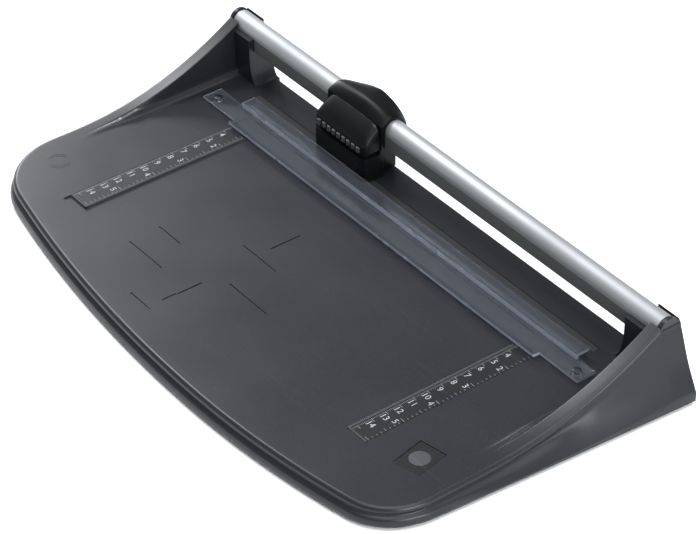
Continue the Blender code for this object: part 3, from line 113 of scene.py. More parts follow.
class EffectGroups:
    """The shader node groups that the finishes share, each built once."""

    def __init__(self) -> None:
        """Builds the grain, mottle, rubbed-edge, scuff and dust groups; the rubbed-edge group also carries
        painted highlights on the grip ribs and the press cap.
        """
        self.grain = self._grain()
        self.mottle = self._mottle()
        self.wear = self._wear()
        self.scuffs = self._scuffs()
        self.dust = self._dust()

    @staticmethod
    def _new(name: str, inputs: Iterable[tuple[str, str, float]], outputs: Iterable[str]) -> tuple:
        """Starts a group.

        Args:
            name: The group's name.
            inputs: Each input's name, socket kind and default value.
            outputs: The names of its value outputs.

        Returns:
            The group's tree, its input node and its output node.
        """
        tree = bpy.data.node_groups.new(name, "ShaderNodeTree")
        tree.interface.new_socket("Vector", in_out="INPUT", socket_type="NodeSocketVector")
        for label, kind, value in inputs:
            socket = tree.interface.new_socket(label, in_out="INPUT", socket_type=kind)
            socket.default_value = value
        for label in outputs:
            tree.interface.new_socket(label, in_out="OUTPUT", socket_type="NodeSocketFloat")
        return tree, tree.nodes.new("NodeGroupInput"), tree.nodes.new("NodeGroupOutput")

    @staticmethod
    def _noise(tree: bpy.types.NodeTree, scale: float, detail: float, rough: float = 0.5) -> bpy.types.Node:
        """A noise texture node of this scale and detail."""
        node = tree.nodes.new("ShaderNodeTexNoise")
        node.inputs["Scale"].default_value = scale
        node.inputs["Detail"].default_value = detail
        node.inputs["Roughness"].default_value = rough
        return node

    @staticmethod
    def _range(tree: bpy.types.NodeTree, low: float, high: float) -> bpy.types.Node:
        """A node that spreads the values between low and high over nought to one."""
        node = tree.nodes.new("ShaderNodeMapRange")
        node.inputs["From Min"].default_value = low
        node.inputs["From Max"].default_value = high
        return node

    def _patches(self, tree: bpy.types.NodeTree, place: bpy.types.NodeSocket, noise: Point,
                 limits: Flat) -> bpy.types.NodeSocket:
        """Patches of a noise, as a mask.

        Args:
            tree: The group's tree.
            place: The socket with the place on the surface.
            noise: The noise's scale, detail and roughness.
            limits: The noise values that the mask spreads over nought to one.

        Returns:
            The mask's socket.
        """
        pattern = self._noise(tree, *noise)
        spread = self._range(tree, *limits)
        tree.links.new(place, pattern.inputs["Vector"])
        tree.links.new(pattern.outputs["Fac"], spread.inputs["Value"])
        return spread.outputs["Result"]

    @staticmethod
    def _math(tree: bpy.types.NodeTree, operation: str,
              *values: bpy.types.NodeSocket | float) -> bpy.types.NodeSocket:
        """A math node on two values or sockets."""
        node = tree.nodes.new("ShaderNodeMath")
        node.operation = operation
        for socket, value in zip(node.inputs, values):
            if isinstance(value, bpy.types.NodeSocket):
                tree.links.new(value, socket)
            else:
                socket.default_value = value
        return node.outputs[0]

    def _amount_group(self, name: str, amount: float) -> tuple:
        """Starts a group whose mask is multiplied by its Amount.

        Args:
            name: The group's name.
            amount: The amount's default.

        Returns:
            The tree, the place's socket and a function that takes the mask and closes the group.
        """
        tree, start, end = self._new(name, [("Amount", "NodeSocketFloat", amount)], ["Mask"])

        def close(mask: bpy.types.NodeSocket) -> bpy.types.NodeTree:
            """Multiplies the mask by the amount and puts it out."""
            tree.links.new(self._math(tree, "MULTIPLY", mask, start.outputs["Amount"]), end.inputs["Mask"])
            return tree

        return tree, start.outputs["Vector"], close

    def _grain(self) -> bpy.types.NodeTree:
        """Fine texture, as a height: cells of a moulded grain with a finer noise on them."""
        tree, start, end = self._new("moulded_grain", [("Scale", "NodeSocketFloat", 1.0)], ["Height"])
        scaled = tree.nodes.new("ShaderNodeVectorMath")
        scaled.operation = "SCALE"
        link = tree.links.new
        link(start.outputs["Vector"], scaled.inputs[0])
        link(start.outputs["Scale"], scaled.inputs["Scale"])
        layers = []
        for scale, detail in ((900.0, 2.0), (2600.0, 1.0)):
            layer = self._noise(tree, scale, detail)
            link(scaled.outputs[0], layer.inputs["Vector"])
            layers.append(layer.outputs["Fac"])
        link(self._math(tree, "MULTIPLY", self._math(tree, "ADD", *layers), 0.5), end.inputs["Height"])
        return tree

    def _mottle(self) -> bpy.types.NodeTree:
        """Slow variation over a hand's breadth, as a mask."""
        tree, start, end = self._new("slow_mottle", [("Scale", "NodeSocketFloat", 14.0)], ["Mask"])
        noise = self._noise(tree, 14.0, 4.0, 0.55)
        spread = self._range(tree, 0.32, 0.68)
        link = tree.links.new
        link(start.outputs["Vector"], noise.inputs["Vector"])
        link(start.outputs["Scale"], noise.inputs["Scale"])
        link(noise.outputs["Fac"], spread.inputs["Value"])
        link(spread.outputs["Result"], end.inputs["Mask"])
        return tree

    def _wear(self) -> bpy.types.NodeTree:
        """Rubbed edges, as a mask: where rounding would turn the surface and a noise lets it through. On the
        grip ribs and the press cap this mask places painted highlights.
        """
        tree, place, close = self._amount_group("rubbed_edges_and_glints", 0.5)
        shape = tree.nodes.new("ShaderNodeNewGeometry")
        rounding = tree.nodes.new("ShaderNodeBevel")
        rounding.samples = 4
        rounding.inputs["Radius"].default_value = 0.0005
        turned = tree.nodes.new("ShaderNodeVectorMath")
        turned.operation = "DOT_PRODUCT"
        sharp = self._range(tree, 0.97, 0.80)
        tree.links.new(rounding.outputs["Normal"], turned.inputs[0])
        tree.links.new(shape.outputs["True Normal"], turned.inputs[1])
        tree.links.new(turned.outputs["Value"], sharp.inputs["Value"])
        patch = self._patches(tree, place, (160.0, 3.0, 0.5), (0.35, 0.75))
        return close(self._math(tree, "MULTIPLY", sharp.outputs["Result"], patch))

    def _scuffs(self) -> bpy.types.NodeTree:
        """Long faint scratches in two directions, as a mask."""
        tree, place, close = self._amount_group("fine_scuffs", 0.5)
        masks = []
        for turn, scale in ((0.42, (9.0, 420.0, 9.0)), (-1.15, (7.0, 360.0, 7.0))):
            mapping = tree.nodes.new("ShaderNodeMapping")
            mapping.inputs["Rotation"].default_value = (0.0, 0.0, turn)
            mapping.inputs["Scale"].default_value = scale
            tree.links.new(place, mapping.inputs["Vector"])
            masks.append(self._patches(tree, mapping.outputs["Vector"], (1.0, 2.0, 0.6), (0.66, 0.74)))
        return close(self._math(tree, "MAXIMUM", *masks))

    def _dust(self) -> bpy.types.NodeTree:
        """Dust that has settled on what faces up, as a mask."""
        tree, place, close = self._amount_group("settled_dust", 0.3)
        shape = tree.nodes.new("ShaderNodeNewGeometry")
        parts = tree.nodes.new("ShaderNodeSeparateXYZ")
        up = self._range(tree, 0.35, 1.0)
        tree.links.new(shape.outputs["Normal"], parts.inputs[0])
        tree.links.new(parts.outputs["Z"], up.inputs["Value"])
        specks = self._patches(tree, place, (700.0, 3.0, 0.7), (0.52, 0.80))
        return close(self._math(tree, "MULTIPLY", up.outputs["Result"], specks))


@dataclass(frozen=True)
class Finish:
    """One finish: its slot in the record, its colour and how its surface is worked.

    Args:
        slot: The record's material slot; not used.
        colour: The base colour, linear.
        roughness: The mean roughness.
        metallic: 1 for a metal.
        shade: The darker colour that the slow mottle brings in.
        spread: How far the mottle moves the roughness.
        grain: The direction of the fine texture.
        grain_scale: Its scale, 1 for a common moulding.
        grain_depth: Its depth in metres.
        wear: How strongly edges are rubbed; on the grip ribs and the press cap, how strongly painted
            highlights show on their edges.
        worn: The colour of a rubbed edge; on the grip ribs and the press cap, the colour of a painted
            highlight.
        scuff: How strongly scratches show.
        dust: How much dust lies on top.
        specular: The shader's specular level.
        transmission: The shader's transmission weight.
        mottle_scale: The scale of the slow mottle.
    """

    slot: str
    colour: Colour
    roughness: float
    metallic: float = 0.0
    shade: Colour | None = None
    spread: float = 0.08
    grain: Grain = Grain.MOULDED
    grain_scale: float = 1.0
    grain_depth: float = 0.00002
    wear: float = 0.3
    worn: Colour = (0.16, 0.165, 0.175)
    scuff: float = 0.2
    dust: float = 0.1
    specular: float = 0.5
    transmission: float = 0.0
    mottle_scale: float = 14.0

    def material(self, groups: EffectGroups, name: str) -> bpy.types.Material:
        """Builds the material.

        Args:
            groups: The shared effect groups.
            name: The material's name.

        Returns:
            The material, with colour, roughness and height from the groups.
        """
        material = bpy.data.materials.new(name)
        material.use_nodes = True
        tree = material.node_tree
        shader = tree.nodes["Principled BSDF"]
        link = tree.links.new
        shader.inputs["Metallic"].default_value = self.metallic
        shader.inputs["Specular IOR Level"].default_value = self.specular
        shader.inputs["Transmission Weight"].default_value = self.transmission
        shader.inputs["IOR"].default_value = PLASTIC_IOR
        place = tree.nodes.new("ShaderNodeTexCoord")
        turned = tree.nodes.new("ShaderNodeMapping")
        turned.inputs["Scale"].default_value = self.grain.value
        link(place.outputs["Object"], turned.inputs["Vector"])

        def effect(group: bpy.types.NodeTree, value: float, source: bpy.types.NodeSocket) -> bpy.types.Node:
            """Places one shared group with its own value."""
            node = tree.nodes.new("ShaderNodeGroup")
            node.node_tree = group
            node.inputs[1].default_value = value
            link(source, node.inputs["Vector"])
            return node

        def blend(kind: str, fac: bpy.types.NodeSocket, a: object, b: object) -> bpy.types.NodeSocket:
            """Mixes two colours or values by a mask."""
            node = tree.nodes.new("ShaderNodeMix")
            node.data_type = kind
            first, second = (6, 7) if kind == "RGBA" else (2, 3)
            for index, value in ((first, a), (second, b)):
                if isinstance(value, bpy.types.NodeSocket):
                    link(value, node.inputs[index])
                else:
                    node.inputs[index].default_value = value
            link(fac, node.inputs[0])
            return node.outputs[2 if kind == "RGBA" else 0]

        flat = place.outputs["Object"]
        mottle = effect(groups.mottle, self.mottle_scale, flat).outputs["Mask"]
        wear = effect(groups.wear, self.wear, flat).outputs["Mask"]
        scuff = effect(groups.scuffs, self.scuff, flat).outputs["Mask"]
        dust = effect(groups.dust, self.dust, flat).outputs["Mask"]
        grain = effect(groups.grain, self.grain_scale, turned.outputs["Vector"]).outputs["Height"]
        shade = self.shade or tuple(0.82 * value for value in self.colour)
        tone = blend("RGBA", mottle, (*shade, 1.0), (*self.colour, 1.0))
        tone = blend("RGBA", scuff, tone, (*self.worn, 1.0))
        tone = blend("RGBA", wear, tone, (*self.worn, 1.0))
        tone = blend("RGBA", dust, tone, (*DUST_COLOUR, 1.0))
        link(tone, shader.inputs["Base Color"])
        low, high = self.roughness - self.spread / 2, self.roughness + self.spread / 2
        rough = blend("FLOAT", mottle, high, low)
        rough = blend("FLOAT", scuff, rough, min(1.0, self.roughness + SCUFF_ROUGHENS))
        rough = blend("FLOAT", dust, rough, DUST_ROUGHNESS)
        link(rough, shader.inputs["Roughness"])
        bump = tree.nodes.new("ShaderNodeBump")
        bump.inputs["Distance"].default_value = self.grain_depth
        bump.inputs["Strength"].default_value = 1.0
        link(grain, bump.inputs["Height"])
        link(bump.outputs["Normal"], shader.inputs["Normal"])
        return material


FINISHES: dict[str, Finish] = {
    "base": Finish(
        "base_plastic", (0.0118, 0.0124, 0.0162), 0.36, shade=(0.0098, 0.0103, 0.0134),
        wear=0.35, worn=(0.10, 0.105, 0.115), scuff=0.04, dust=0.03, specular=0.36,
    ),
    "ruler": Finish(
        "ruler_plastic", (0.0065, 0.0068, 0.0076), 0.40, wear=0.2, scuff=0.04, dust=0.03, specular=0.3,
    ),
    "print": Finish(
        "ruler_plastic", (0.36, 0.37, 0.39), 0.5, shade=(0.24, 0.245, 0.26), wear=0.0, scuff=0.1, dust=0.05,
        mottle_scale=260.0,
    ),
    "tick": Finish(
        "ruler_plastic", (0.22, 0.226, 0.238), 0.5, shade=(0.14, 0.144, 0.153), wear=0.0, scuff=0.1, dust=0.05,
        mottle_scale=260.0,
    ),
    # On the scale ridges this pale colour is partly a painted highlight standing in for the light line along
    # each bead; on the label disc it is the disc's own tone.
    "relief": Finish(
        "ruler_plastic", (0.045, 0.047, 0.051), 0.45, wear=0.2, worn=(0.2, 0.2, 0.21), scuff=0.1, dust=0.03,
        specular=0.3,
    ),
    "strip": Finish(
        "strip_plastic", (0.016, 0.0165, 0.018), 0.62, wear=0.1, worn=(0.06, 0.062, 0.066), scuff=0.30,
        dust=0.06, specular=0.3,
    ),
    "rubber": Finish("rubber", (0.012, 0.012, 0.012), 0.85, grain_depth=0.00006, dust=0.3),
    "aluminium": Finish(
        "rail_aluminium", (0.42, 0.43, 0.44), 0.62, 1.0, shade=(0.37, 0.38, 0.39), grain=Grain.DRAWN_X,
        grain_depth=0.000012, wear=0.1, worn=(0.70, 0.70, 0.71), scuff=0.06, dust=0.02,
    ),
    "guide": Finish("guide_plastic", (0.080, 0.084, 0.084), 0.5, grain=Grain.DRAWN_X, scuff=0.06, dust=0.03),
    "plug": Finish("plug_plastic", (0.010, 0.010, 0.012), 0.5),
    "steel": Finish(
        "steel", (0.62, 0.62, 0.63), 0.28, 1.0, grain=Grain.TURNED, worn=(0.8, 0.8, 0.8), dust=0.05,
    ),
    "blackened": Finish(
        "steel", (0.10, 0.105, 0.115), 0.25, 1.0, grain=Grain.TURNED, worn=(0.35, 0.36, 0.37), dust=0.02,
    ),
    "clear": Finish(
        "clear_plastic", (0.80, 0.86, 0.95), 0.06, shade=(0.77, 0.83, 0.94), spread=0.04, grain_depth=0.000004,
        wear=0.15, worn=(0.80, 0.84, 0.90), scuff=0.08, dust=0.02, transmission=0.98,
    ),
    # A paler, less clear copy of the clear finish for the strip's front and end faces: a painted highlight for
    # its bright front edge.
    "clear_painted_bright_edge": Finish(
        "clear_plastic", (0.46, 0.52, 0.62), 0.30, worn=(0.8, 0.84, 0.9), scuff=0.05, dust=0.02,
        transmission=0.45,
    ),
    "shell": Finish(
        "shell_plastic", (0.0034, 0.0037, 0.0043), 0.36, shade=(0.0027, 0.0030, 0.0034), spread=0.06,
        grain_depth=0.000012, wear=0.4, worn=(0.045, 0.046, 0.050), scuff=0.02, dust=0.005, specular=0.11,
    ),
    "guard": Finish(
        "guard_plastic", (0.0030, 0.0034, 0.0040), 0.28, spread=0.06, grain_depth=0.000012,
        worn=(0.06, 0.06, 0.065), scuff=0.02, dust=0.005, specular=0.13,
    ),
    # The press cap's pale rubbed-edge colour is partly real rubbing and partly a painted highlight along its
    # edges.
    "button": Finish(
        "button_plastic", (0.0025, 0.0028, 0.0034), 0.42, spread=0.06, wear=0.6, worn=(0.16, 0.163, 0.168),
        scuff=0.02, dust=0.005, specular=0.15,
    ),
    # Grip ribs: the pale colour and pale rubbed edges are painted highlights standing in for the glints along
    # the ribs.
    "rib": Finish(
        "button_plastic", (0.040, 0.042, 0.045), 0.30, wear=0.5, worn=(0.22, 0.225, 0.235), scuff=0.02,
        dust=0.005,
    ),
    "shoe": Finish("shoe_plastic", (0.68, 0.68, 0.65), 0.5, worn=(0.8, 0.8, 0.78)),
    "blade": Finish(
        "blade_steel", (0.70, 0.71, 0.73), 0.18, 1.0, grain=Grain.TURNED, worn=(0.85, 0.85, 0.86), dust=0.0,
    ),
}


# ---- bench: how pieces are made ------------------------------------------------------------
class Bench:
    """The tools that make a piece: primitives shaped in edit mode, and modifiers applied."""

    def __init__(self) -> None:
        """Builds the shared groups and every finish."""
        self.groups = EffectGroups()
        self.materials = {name: finish.material(self.groups, name) for name, finish in FINISHES.items()}

    @staticmethod
    def only(obj: Build) -> Build:
        """Selects one object and makes it the active one."""
        bpy.ops.object.select_all(action="DESELECT")
        obj.hide_viewport = False
        obj.select_set(True)
        bpy.context.view_layer.objects.active = obj
        return obj

    def edit(self, obj: Build, *steps: Callable[[], object]) -> None:
        """Runs mesh operators on the whole of an object.

        Args:
            obj: The object.
            steps: Functions that call one operator each.
        """
        self.only(obj)
        bpy.ops.object.mode_set(mode="EDIT")
        bpy.ops.mesh.select_all(action="SELECT")
        for step in steps:
            step()
        bpy.ops.object.mode_set(mode="OBJECT")

    def outward(self, obj: Build) -> Build:
        """Merges doubles and turns every face outwards."""
        self.edit(
            obj,
            lambda: bpy.ops.mesh.remove_doubles(threshold=1e-6),
            lambda: bpy.ops.mesh.normals_make_consistent(inside=False),
        )
        return obj

    def outline(self, name: str, points: Sequence[Point]) -> Build:
        """A filled circle whose corners are moved to an outline.

        Args:
            name: The object's name.
            points: The outline's corners in order.

        Returns:
            A flat object of one face.
        """
        bpy.ops.object.select_all(action="DESELECT")
        bpy.ops.mesh.primitive_circle_add(vertices=len(points), fill_type="NGON", location=(0, 0, 0))
        obj = bpy.context.active_object
        obj.name = name
        for vertex, point in zip(obj.data.vertices, points):
            vertex.co = point
        return obj

    def extruded(self, name: str, shape: Sequence[Flat], low: float, high: float, axis: Axis) -> Build:
        """An outline extruded along an axis.

        Args:
            name: The object's name.
            shape: The outline, as pairs of values across the axis.
            low: Where it starts.
            high: Where it ends.
            axis: The axis.

        Returns:
            The solid.
        """
        obj = self.outline(name, [axis.place(a, b, low) for a, b in shape])
        step = {"value": axis.along(high - low)}
        self.edit(obj, lambda: bpy.ops.mesh.extrude_region_move(TRANSFORM_OT_translate=step))
        return self.outward(obj)

    def block(self, name: str, low: Point, high: Point) -> Build:
        """A cube primitive moved and scaled to two corners."""
        bpy.ops.object.select_all(action="DESELECT")
        middle = [(a + b) / 2 for a, b in zip(low, high)]
        size = [b - a for a, b in zip(low, high)]
        bpy.ops.mesh.primitive_cube_add(size=1.0, location=middle, scale=size)
        return self.placed(bpy.context.active_object, name)

    def disc(self, name: str, centre: Flat, radius: float, low: float, high: float, sides: int = 32) -> Build:
        """A cylinder primitive standing along Z."""
        bpy.ops.object.select_all(action="DESELECT")
        bpy.ops.mesh.primitive_cylinder_add(
            vertices=sides, radius=radius, depth=high - low, location=(*centre, (low + high) / 2)
        )
        return self.placed(bpy.context.active_object, name)

    def placed(self, obj: Build, name: str) -> Build:
        """Names an object and puts its place, turn and size into its mesh."""
        obj.name = name
        self.only(obj)
        bpy.ops.object.transform_apply(location=True, rotation=True, scale=True)
        return obj

    def sheet(self, name: str, rows: Sequence[Sequence[Point]]) -> Build:
        """A grid primitive whose points are moved to a surface.

        Args:
            name: The object's name.
            rows: The points, row by row.

        Returns:
            The open surface.
        """
        bpy.ops.object.select_all(action="DESELECT")
        bpy.ops.mesh.primitive_grid_add(x_subdivisions=len(rows[0]) - 1, y_subdivisions=len(rows) - 1)
        obj = bpy.context.active_object
        obj.name = name
        for vertex, point in zip(obj.data.vertices, [point for row in rows for point in row]):
            vertex.co = point
        return obj

    def joined(self, objects: Sequence[Build], name: str) -> Build:
        """Joins several objects into the first."""
        bpy.ops.object.select_all(action="DESELECT")
        for obj in objects:
            obj.select_set(True)
        bpy.context.view_layer.objects.active = objects[0]
        if len(objects) > 1:
            bpy.ops.object.join()
        objects[0].name = name
        return objects[0]

    def apply(self, obj: Build, kind: str, **values: object) -> Build:
        """Adds a modifier with these values and applies it."""
        self.only(obj)
        modifier = obj.modifiers.new(kind.lower(), kind)
        for key, value in values.items():
            setattr(modifier, key, value)
        bpy.ops.object.modifier_apply(modifier=modifier.name)
        return obj

    def boolean(self, obj: Build, helpers: Sequence[Build], operation: str = "DIFFERENCE") -> Build:
        """Cuts or joins helpers that don't touch each other, and removes them."""
        helper = self.joined(list(helpers), "helper")
        self.apply(obj, "BOOLEAN", object=helper, operation=operation, solver="EXACT")
        bpy.data.objects.remove(helper)
        return obj

    def rounded(self, obj: Build, width: float, segments: int = 2, angle: float = 40.0) -> Build:
        """Bevels the sharp edges and smooths what lies between them.

        Args:
            obj: The object.
            width: The bevel's width.
            segments: Its steps.
            angle: The angle in degrees from which an edge is sharp.

        Returns:
            The same object.
        """
        self.apply(
            obj, "BEVEL", width=width, segments=segments, limit_method="ANGLE",
            angle_limit=math.radians(angle), use_clamp_overlap=True, miter_outer="MITER_ARC",
        )
        return self.smoothed(obj)

    def smoothed(self, obj: Build, angle: float = 38.0) -> Build:
        """Smooth shading up to an angle, with flat faces left flat."""
        self.only(obj)
        bpy.ops.object.shade_smooth_by_angle(angle=math.radians(angle))
        return self.apply(obj, "WEIGHTED_NORMAL", keep_sharp=True, weight=80)

    def copied(self, node: str, name: str) -> Build:
        """A merged copy of a CAD node, with its flat faces whole again.

        Args:
            node: The CAD node.
            name: The new object's name.

        Returns:
            The copy.
        """
        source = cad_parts[node]
        obj = bpy.data.objects.new(name, source.data.copy())
        bpy.context.scene.collection.objects.link(obj)
        obj.data.materials.clear()
        self.only(obj)
        if obj.data.has_custom_normals:
            bpy.ops.mesh.customdata_custom_splitnormals_clear()
        self.edit(
            obj,
            lambda: bpy.ops.mesh.remove_doubles(threshold=2e-6),
            lambda: bpy.ops.mesh.mark_sharp(clear=True),
            lambda: bpy.ops.mesh.dissolve_limited(angle_limit=math.radians(1.5)),
        )
        return obj

    def lettering(self, text: str, height: float, place: Point, depth: float) -> Build:
        """A number made from a text object, standing up from a face.

        Args:
            text: What it says.
            height: The height of its figures.
            place: The middle of its foot.
            depth: How far it stands up.

        Returns:
            The number as a mesh.
        """
        bpy.ops.object.select_all(action="DESELECT")
        bpy.ops.object.text_add(location=place)
        obj = bpy.context.active_object
        obj.data.body = text
        obj.data.size = height / 0.7
        obj.data.align_x = "CENTER"
        obj.data.align_y = "CENTER"
        obj.data.extrude = depth
        obj.data.resolution_u = 3
        bpy.ops.object.convert(target="MESH")
        return self.placed(bpy.context.active_object, f"figure_{text}")

    def painted(self, obj: Build, finish: str, *nodes: str) -> Build:
        """Gives a piece its finish and the CAD nodes it stands for."""
        obj.data.materials.clear()
        obj.data.materials.append(self.materials[finish])
        if nodes:
            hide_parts(*nodes)
        LOG.info("%s: %d faces, finish %s", obj.name, len(obj.data.polygons), finish)
        return obj

    def finish(self, obj: Build, body: Body, finish: str, *nodes: str) -> Build:
        """Finishes a piece that rides on one body.

        Args:
            obj: The piece.
            body: The body it rides on.
            finish: The finish's name.
            nodes: The CAD nodes it stands for.

        Returns:
            The piece.
        """
        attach(self.painted(obj, finish, *nodes), body.value)
        return obj

    def sprung(self, node: str, lower: Body, upper: Body) -> Build:
        """A spring copied from its CAD node, smoothed and given the steel finish.

        Args:
            node: The CAD node it stands for.
            lower: The body at its foot; not used.
            upper: The body at its head; not used.

        Returns:
            The spring.
        """
        obj = self.painted(self.smoothed(self.copied(node, f"{node}_coil")), "steel", node)
        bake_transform(obj)
        return obj

    def eased(self, node: str, name: str, width: float, segments: int = 2, angle: float = 40.0) -> Build:
        """A copy of a CAD node with its edges rounded."""
        return self.rounded(self.copied(node, name), width, segments, angle)

    def dress(self, node: str, finish: str) -> None:
        """Gives a CAD node that stays as it is a finish."""
        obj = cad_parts[node]
        obj.data.materials.clear()
        obj.data.materials.append(self.materials[finish])
        LOG.info("%s: kept, finish %s", node, finish)


def arc(centre: Flat, radius: float, start: float, end: float, steps: int) -> list[Flat]:
    """Points on an arc, angles in degrees."""
    angles = [math.radians(start + (end - start) * i / steps) for i in range(steps + 1)]
    return [(centre[0] + radius * math.cos(a), centre[1] + radius * math.sin(a)) for a in angles]


def curve_through(keys: Sequence[Flat], steps: int) -> list[Flat]:
    """A smooth line through its keys.

    Args:
        keys: The points it passes.
        steps: The steps between two of them.

    Returns:
        The line's points, from the first key to the last.
    """
    ends = [keys[0], *keys, keys[-1]]
    line = []
    for p, q, r, s in zip(ends, ends[1:], ends[2:], ends[3:]):
        for k in range(steps):
            t = k / steps
            line.append(
                tuple(
                    0.5 * (2 * q[i] + (r[i] - p[i]) * t + (2 * p[i] - 5 * q[i] + 4 * r[i] - s[i]) * t**2
                           + (3 * q[i] - p[i] - 3 * r[i] + s[i]) * t**3)
                    for i in (0, 1)
                )
            )
    return line + [keys[-1]]


def spaced(start: float, end: float, count: int) -> list[float]:
    """Evenly spaced values, both ends among them."""
    return [start + (end - start) * i / count for i in range(count + 1)]


def cosine_spaced(middle: float, half: float, count: int) -> list[float]:
    """Values across a width, closer together near both ends."""
    return [middle - half * math.cos(math.pi * i / count) for i in range(count + 1)]


# ---- the base ------------------------------------------------------------------------------
@dataclass
class BaseMoulding:
    """The one-piece base: deck, bowed skirt, two cheeks, rail blocks and ribs underneath."""

    half_width: float = 0.207
    rear_y: float = 0.115
    front_y: float = -0.11466
    apex_x: float = 0.048
    bow_radii: Flat = (0.963, 0.650)
    corner_radii: Flat = (0.050, 0.036)
    deck_z: float = 0.014
    bottom_z: float = 0.0015
    rim_radius: float = 0.003
    front_flare: float = 0.0022
    rear_flare: float = 0.0168
    flare_start_y: float = -0.075
    cheek_height: float = 0.0365
    cheek_start_y: float = -0.028
    cheek_top_y: float = 0.100
    cheek_power: float = 2.2
    cheek_band: float = 0.010
    ledge: Flat = (0.0030, 0.0035)
    block_half_span: float = 0.1805
    block_fillet: float = 0.0075
    block_front_y: float = 0.0965
    lip_half_span: float = 0.1885
    lip_drop: float = 0.0024
    rail_y: float = 0.107
    rail_top_z: float = 0.0540
    rail_bottom_z: float = 0.0455
    rail_half_width: float = 0.0068
    socket_half: float = 0.2041
    end_cap_rim: float = 0.0006
    guide_bottom_z: float = 0.0355
    back_inset: float = 0.0006
    field_depth: float = 0.0008
    field_front: float = -0.070
    field_span: Flat = (-0.1477, 0.1327)
    field_rear: float = 0.072
    bed_half: float = 0.0075
    bed_depth: float = 0.0013
    mat_half: float = 0.1653
    mat_y: Flat = (0.0877, 0.0933)
    mat_depth: float = 0.0015
    scale_x: float = 0.1402
    scale_y: Flat = (-0.0633, 0.0583)
    label_depth: float = 0.0006
    mark_half: float = 0.0006
    mark_depth: float = 0.0005
    pin: Flat = (0.175, 0.067)
    screw_x: float = 0.1925
    wall: float = 0.006
    rib: float = 0.0018
    cell_pitch: float = 0.040
    cell_floor: float = -0.010
    roof_thickness: float = 0.0025
    foot_bore_z: float = 0.0043
    rear_gap_setback: float = 0.0023
    label: Flat = (0.1765, -0.0490)
    label_size: Flat = (0.0190, 0.0240)
    label_turn: float = math.radians(11)
    format_marks: tuple[tuple[float, float, float, float], ...] = (
        (-0.0879, -0.0395, -0.0668, -0.0395),
        (-0.0863, -0.0622, -0.0542, -0.0622),
        (-0.0433, -0.0910, -0.0245, -0.0910),
        (-0.0151, -0.0392, 0.0203, -0.0392),
        (-0.0408, -0.0104, -0.0094, -0.0104),
        (-0.0268, -0.0796, -0.0268, -0.0708),
        (-0.0268, -0.0692, -0.0268, -0.0520),
        (-0.0285, 0.0013, -0.0285, 0.0221),
    )
    feet: tuple[Flat, ...] = (
        (-0.168, -0.066), (0.176, -0.066), (-0.200, 0.060), (0.200, 0.060), (0.020, -0.092), (0.000, 0.100),
    )

    def rise(self, y: float) -> float:
        """Height of the cheek's ridge above the deck."""
        share = (y - self.cheek_start_y) / (self.cheek_top_y - self.cheek_start_y)
        return self.cheek_height * min(1.0, max(0.0, share)) ** self.cheek_power

    def flare(self, y: float) -> float:
        """How far the skirt's foot stands outside the rim."""
        share = min(1.0, max(0.0, (y - self.flare_start_y) / (self.rear_y - self.flare_start_y)))
        return self.front_flare + (self.rear_flare - self.front_flare) * share**0.9

    def corner(self, side: int, steps: int = 26) -> list[tuple[float, float, float]]:
        """The rim round one front corner: x, y and outward angle."""
        bow = self.bow_radii[side > 0]
        radius = self.corner_radii[side > 0]
        centre_x = side * (self.half_width - radius)
        across = centre_x - self.apex_x
        bow_y = self.front_y + bow
        centre_y = bow_y - math.sqrt((bow - radius) ** 2 - across**2)
        last = math.atan2(centre_y - bow_y, across)
        first = 0.0 if side > 0 else -math.pi
        angles = spaced(first, last, steps)
        return [(centre_x + radius * math.cos(a), centre_y + radius * math.sin(a), a) for a in angles]

    def stations(self) -> list[tuple[float, float, float]]:
        """The whole rim from the back of the left side, round the front, to the right."""
        left, right = self.corner(-1), self.corner(1)
        rows = 56

        def side_rows(front: float) -> list[float]:
            """Places down one side, with the top of the ridge among them."""
            ys = [self.rear_y + (front - self.rear_y) * (i / rows) ** 1.15 for i in range(rows)]
            return sorted([y for y in ys if abs(y - self.cheek_top_y) > 0.001] + [self.cheek_top_y])

        line = [(-self.half_width, y, -math.pi) for y in reversed(side_rows(left[0][1]))] + left
        halves = (
            (left[-1][0], self.apex_x, self.bow_radii[0], 34),
            (self.apex_x, right[-1][0], self.bow_radii[1], 22),
        )
        for start, end, radius, count in halves:
            for x in spaced(start, end, count)[1 if start < 0 else 0:-1]:
                angle = -math.pi / 2 + math.asin((x - self.apex_x) / radius)
                line.append((x, self.front_y + radius * (1 + math.sin(angle)), angle))
        line += right[::-1]
        return line + [(self.half_width, y, 0.0) for y in side_rows(right[0][1])]

    def section(self, y: float) -> list[Flat]:
        """The section across the rim, from the deck over the rim to the bottom."""
        rise, foot = self.rise(y), self.flare(y)
        ledge = min(rise, self.ledge[1])
        top = self.deck_z + rise
        groove = max(0.0, 1 - 3 * rise / self.cheek_height)
        inner = -self.cheek_band
        crease = inner - self.ledge[0]
        edge = min(0.0008, 0.4 * rise)
        radius, bottom = self.rim_radius, self.bottom_z
        ramp = ((0.0040, 0.0), (0.0026, 0.08), (0.0014, 0.28), (0.0005, 0.68), (0.0, 1.0))
        inside = [(crease - back, self.deck_z + share * ledge) for back, share in ramp]
        inside += [(inner - 0.0006, self.deck_z + ledge), (inner, top - edge)]
        inside += [(inner + 0.0003, top - 0.3 * edge), (inner + 0.0009, top)]
        rim = arc((-radius, top - radius), radius, 90, 0, 7)
        keys = [
            rim[-1],
            (-0.0010 * groove + 0.16 * foot * (1 - groove), top - 0.0052 - 0.14 * rise),
            (0.0003 * groove + (0.5 - 0.05 * groove) * foot, bottom + 0.0052 + 0.50 * rise),
            (foot, bottom + 0.0022 + 0.12 * rise),
        ]
        skirt = curve_through(keys, 6)
        return inside + rim + skirt[1:] + [(foot - 0.0002, bottom + 0.0008), (foot - 0.0010, bottom),
                                           (crease - 0.0040, bottom)]

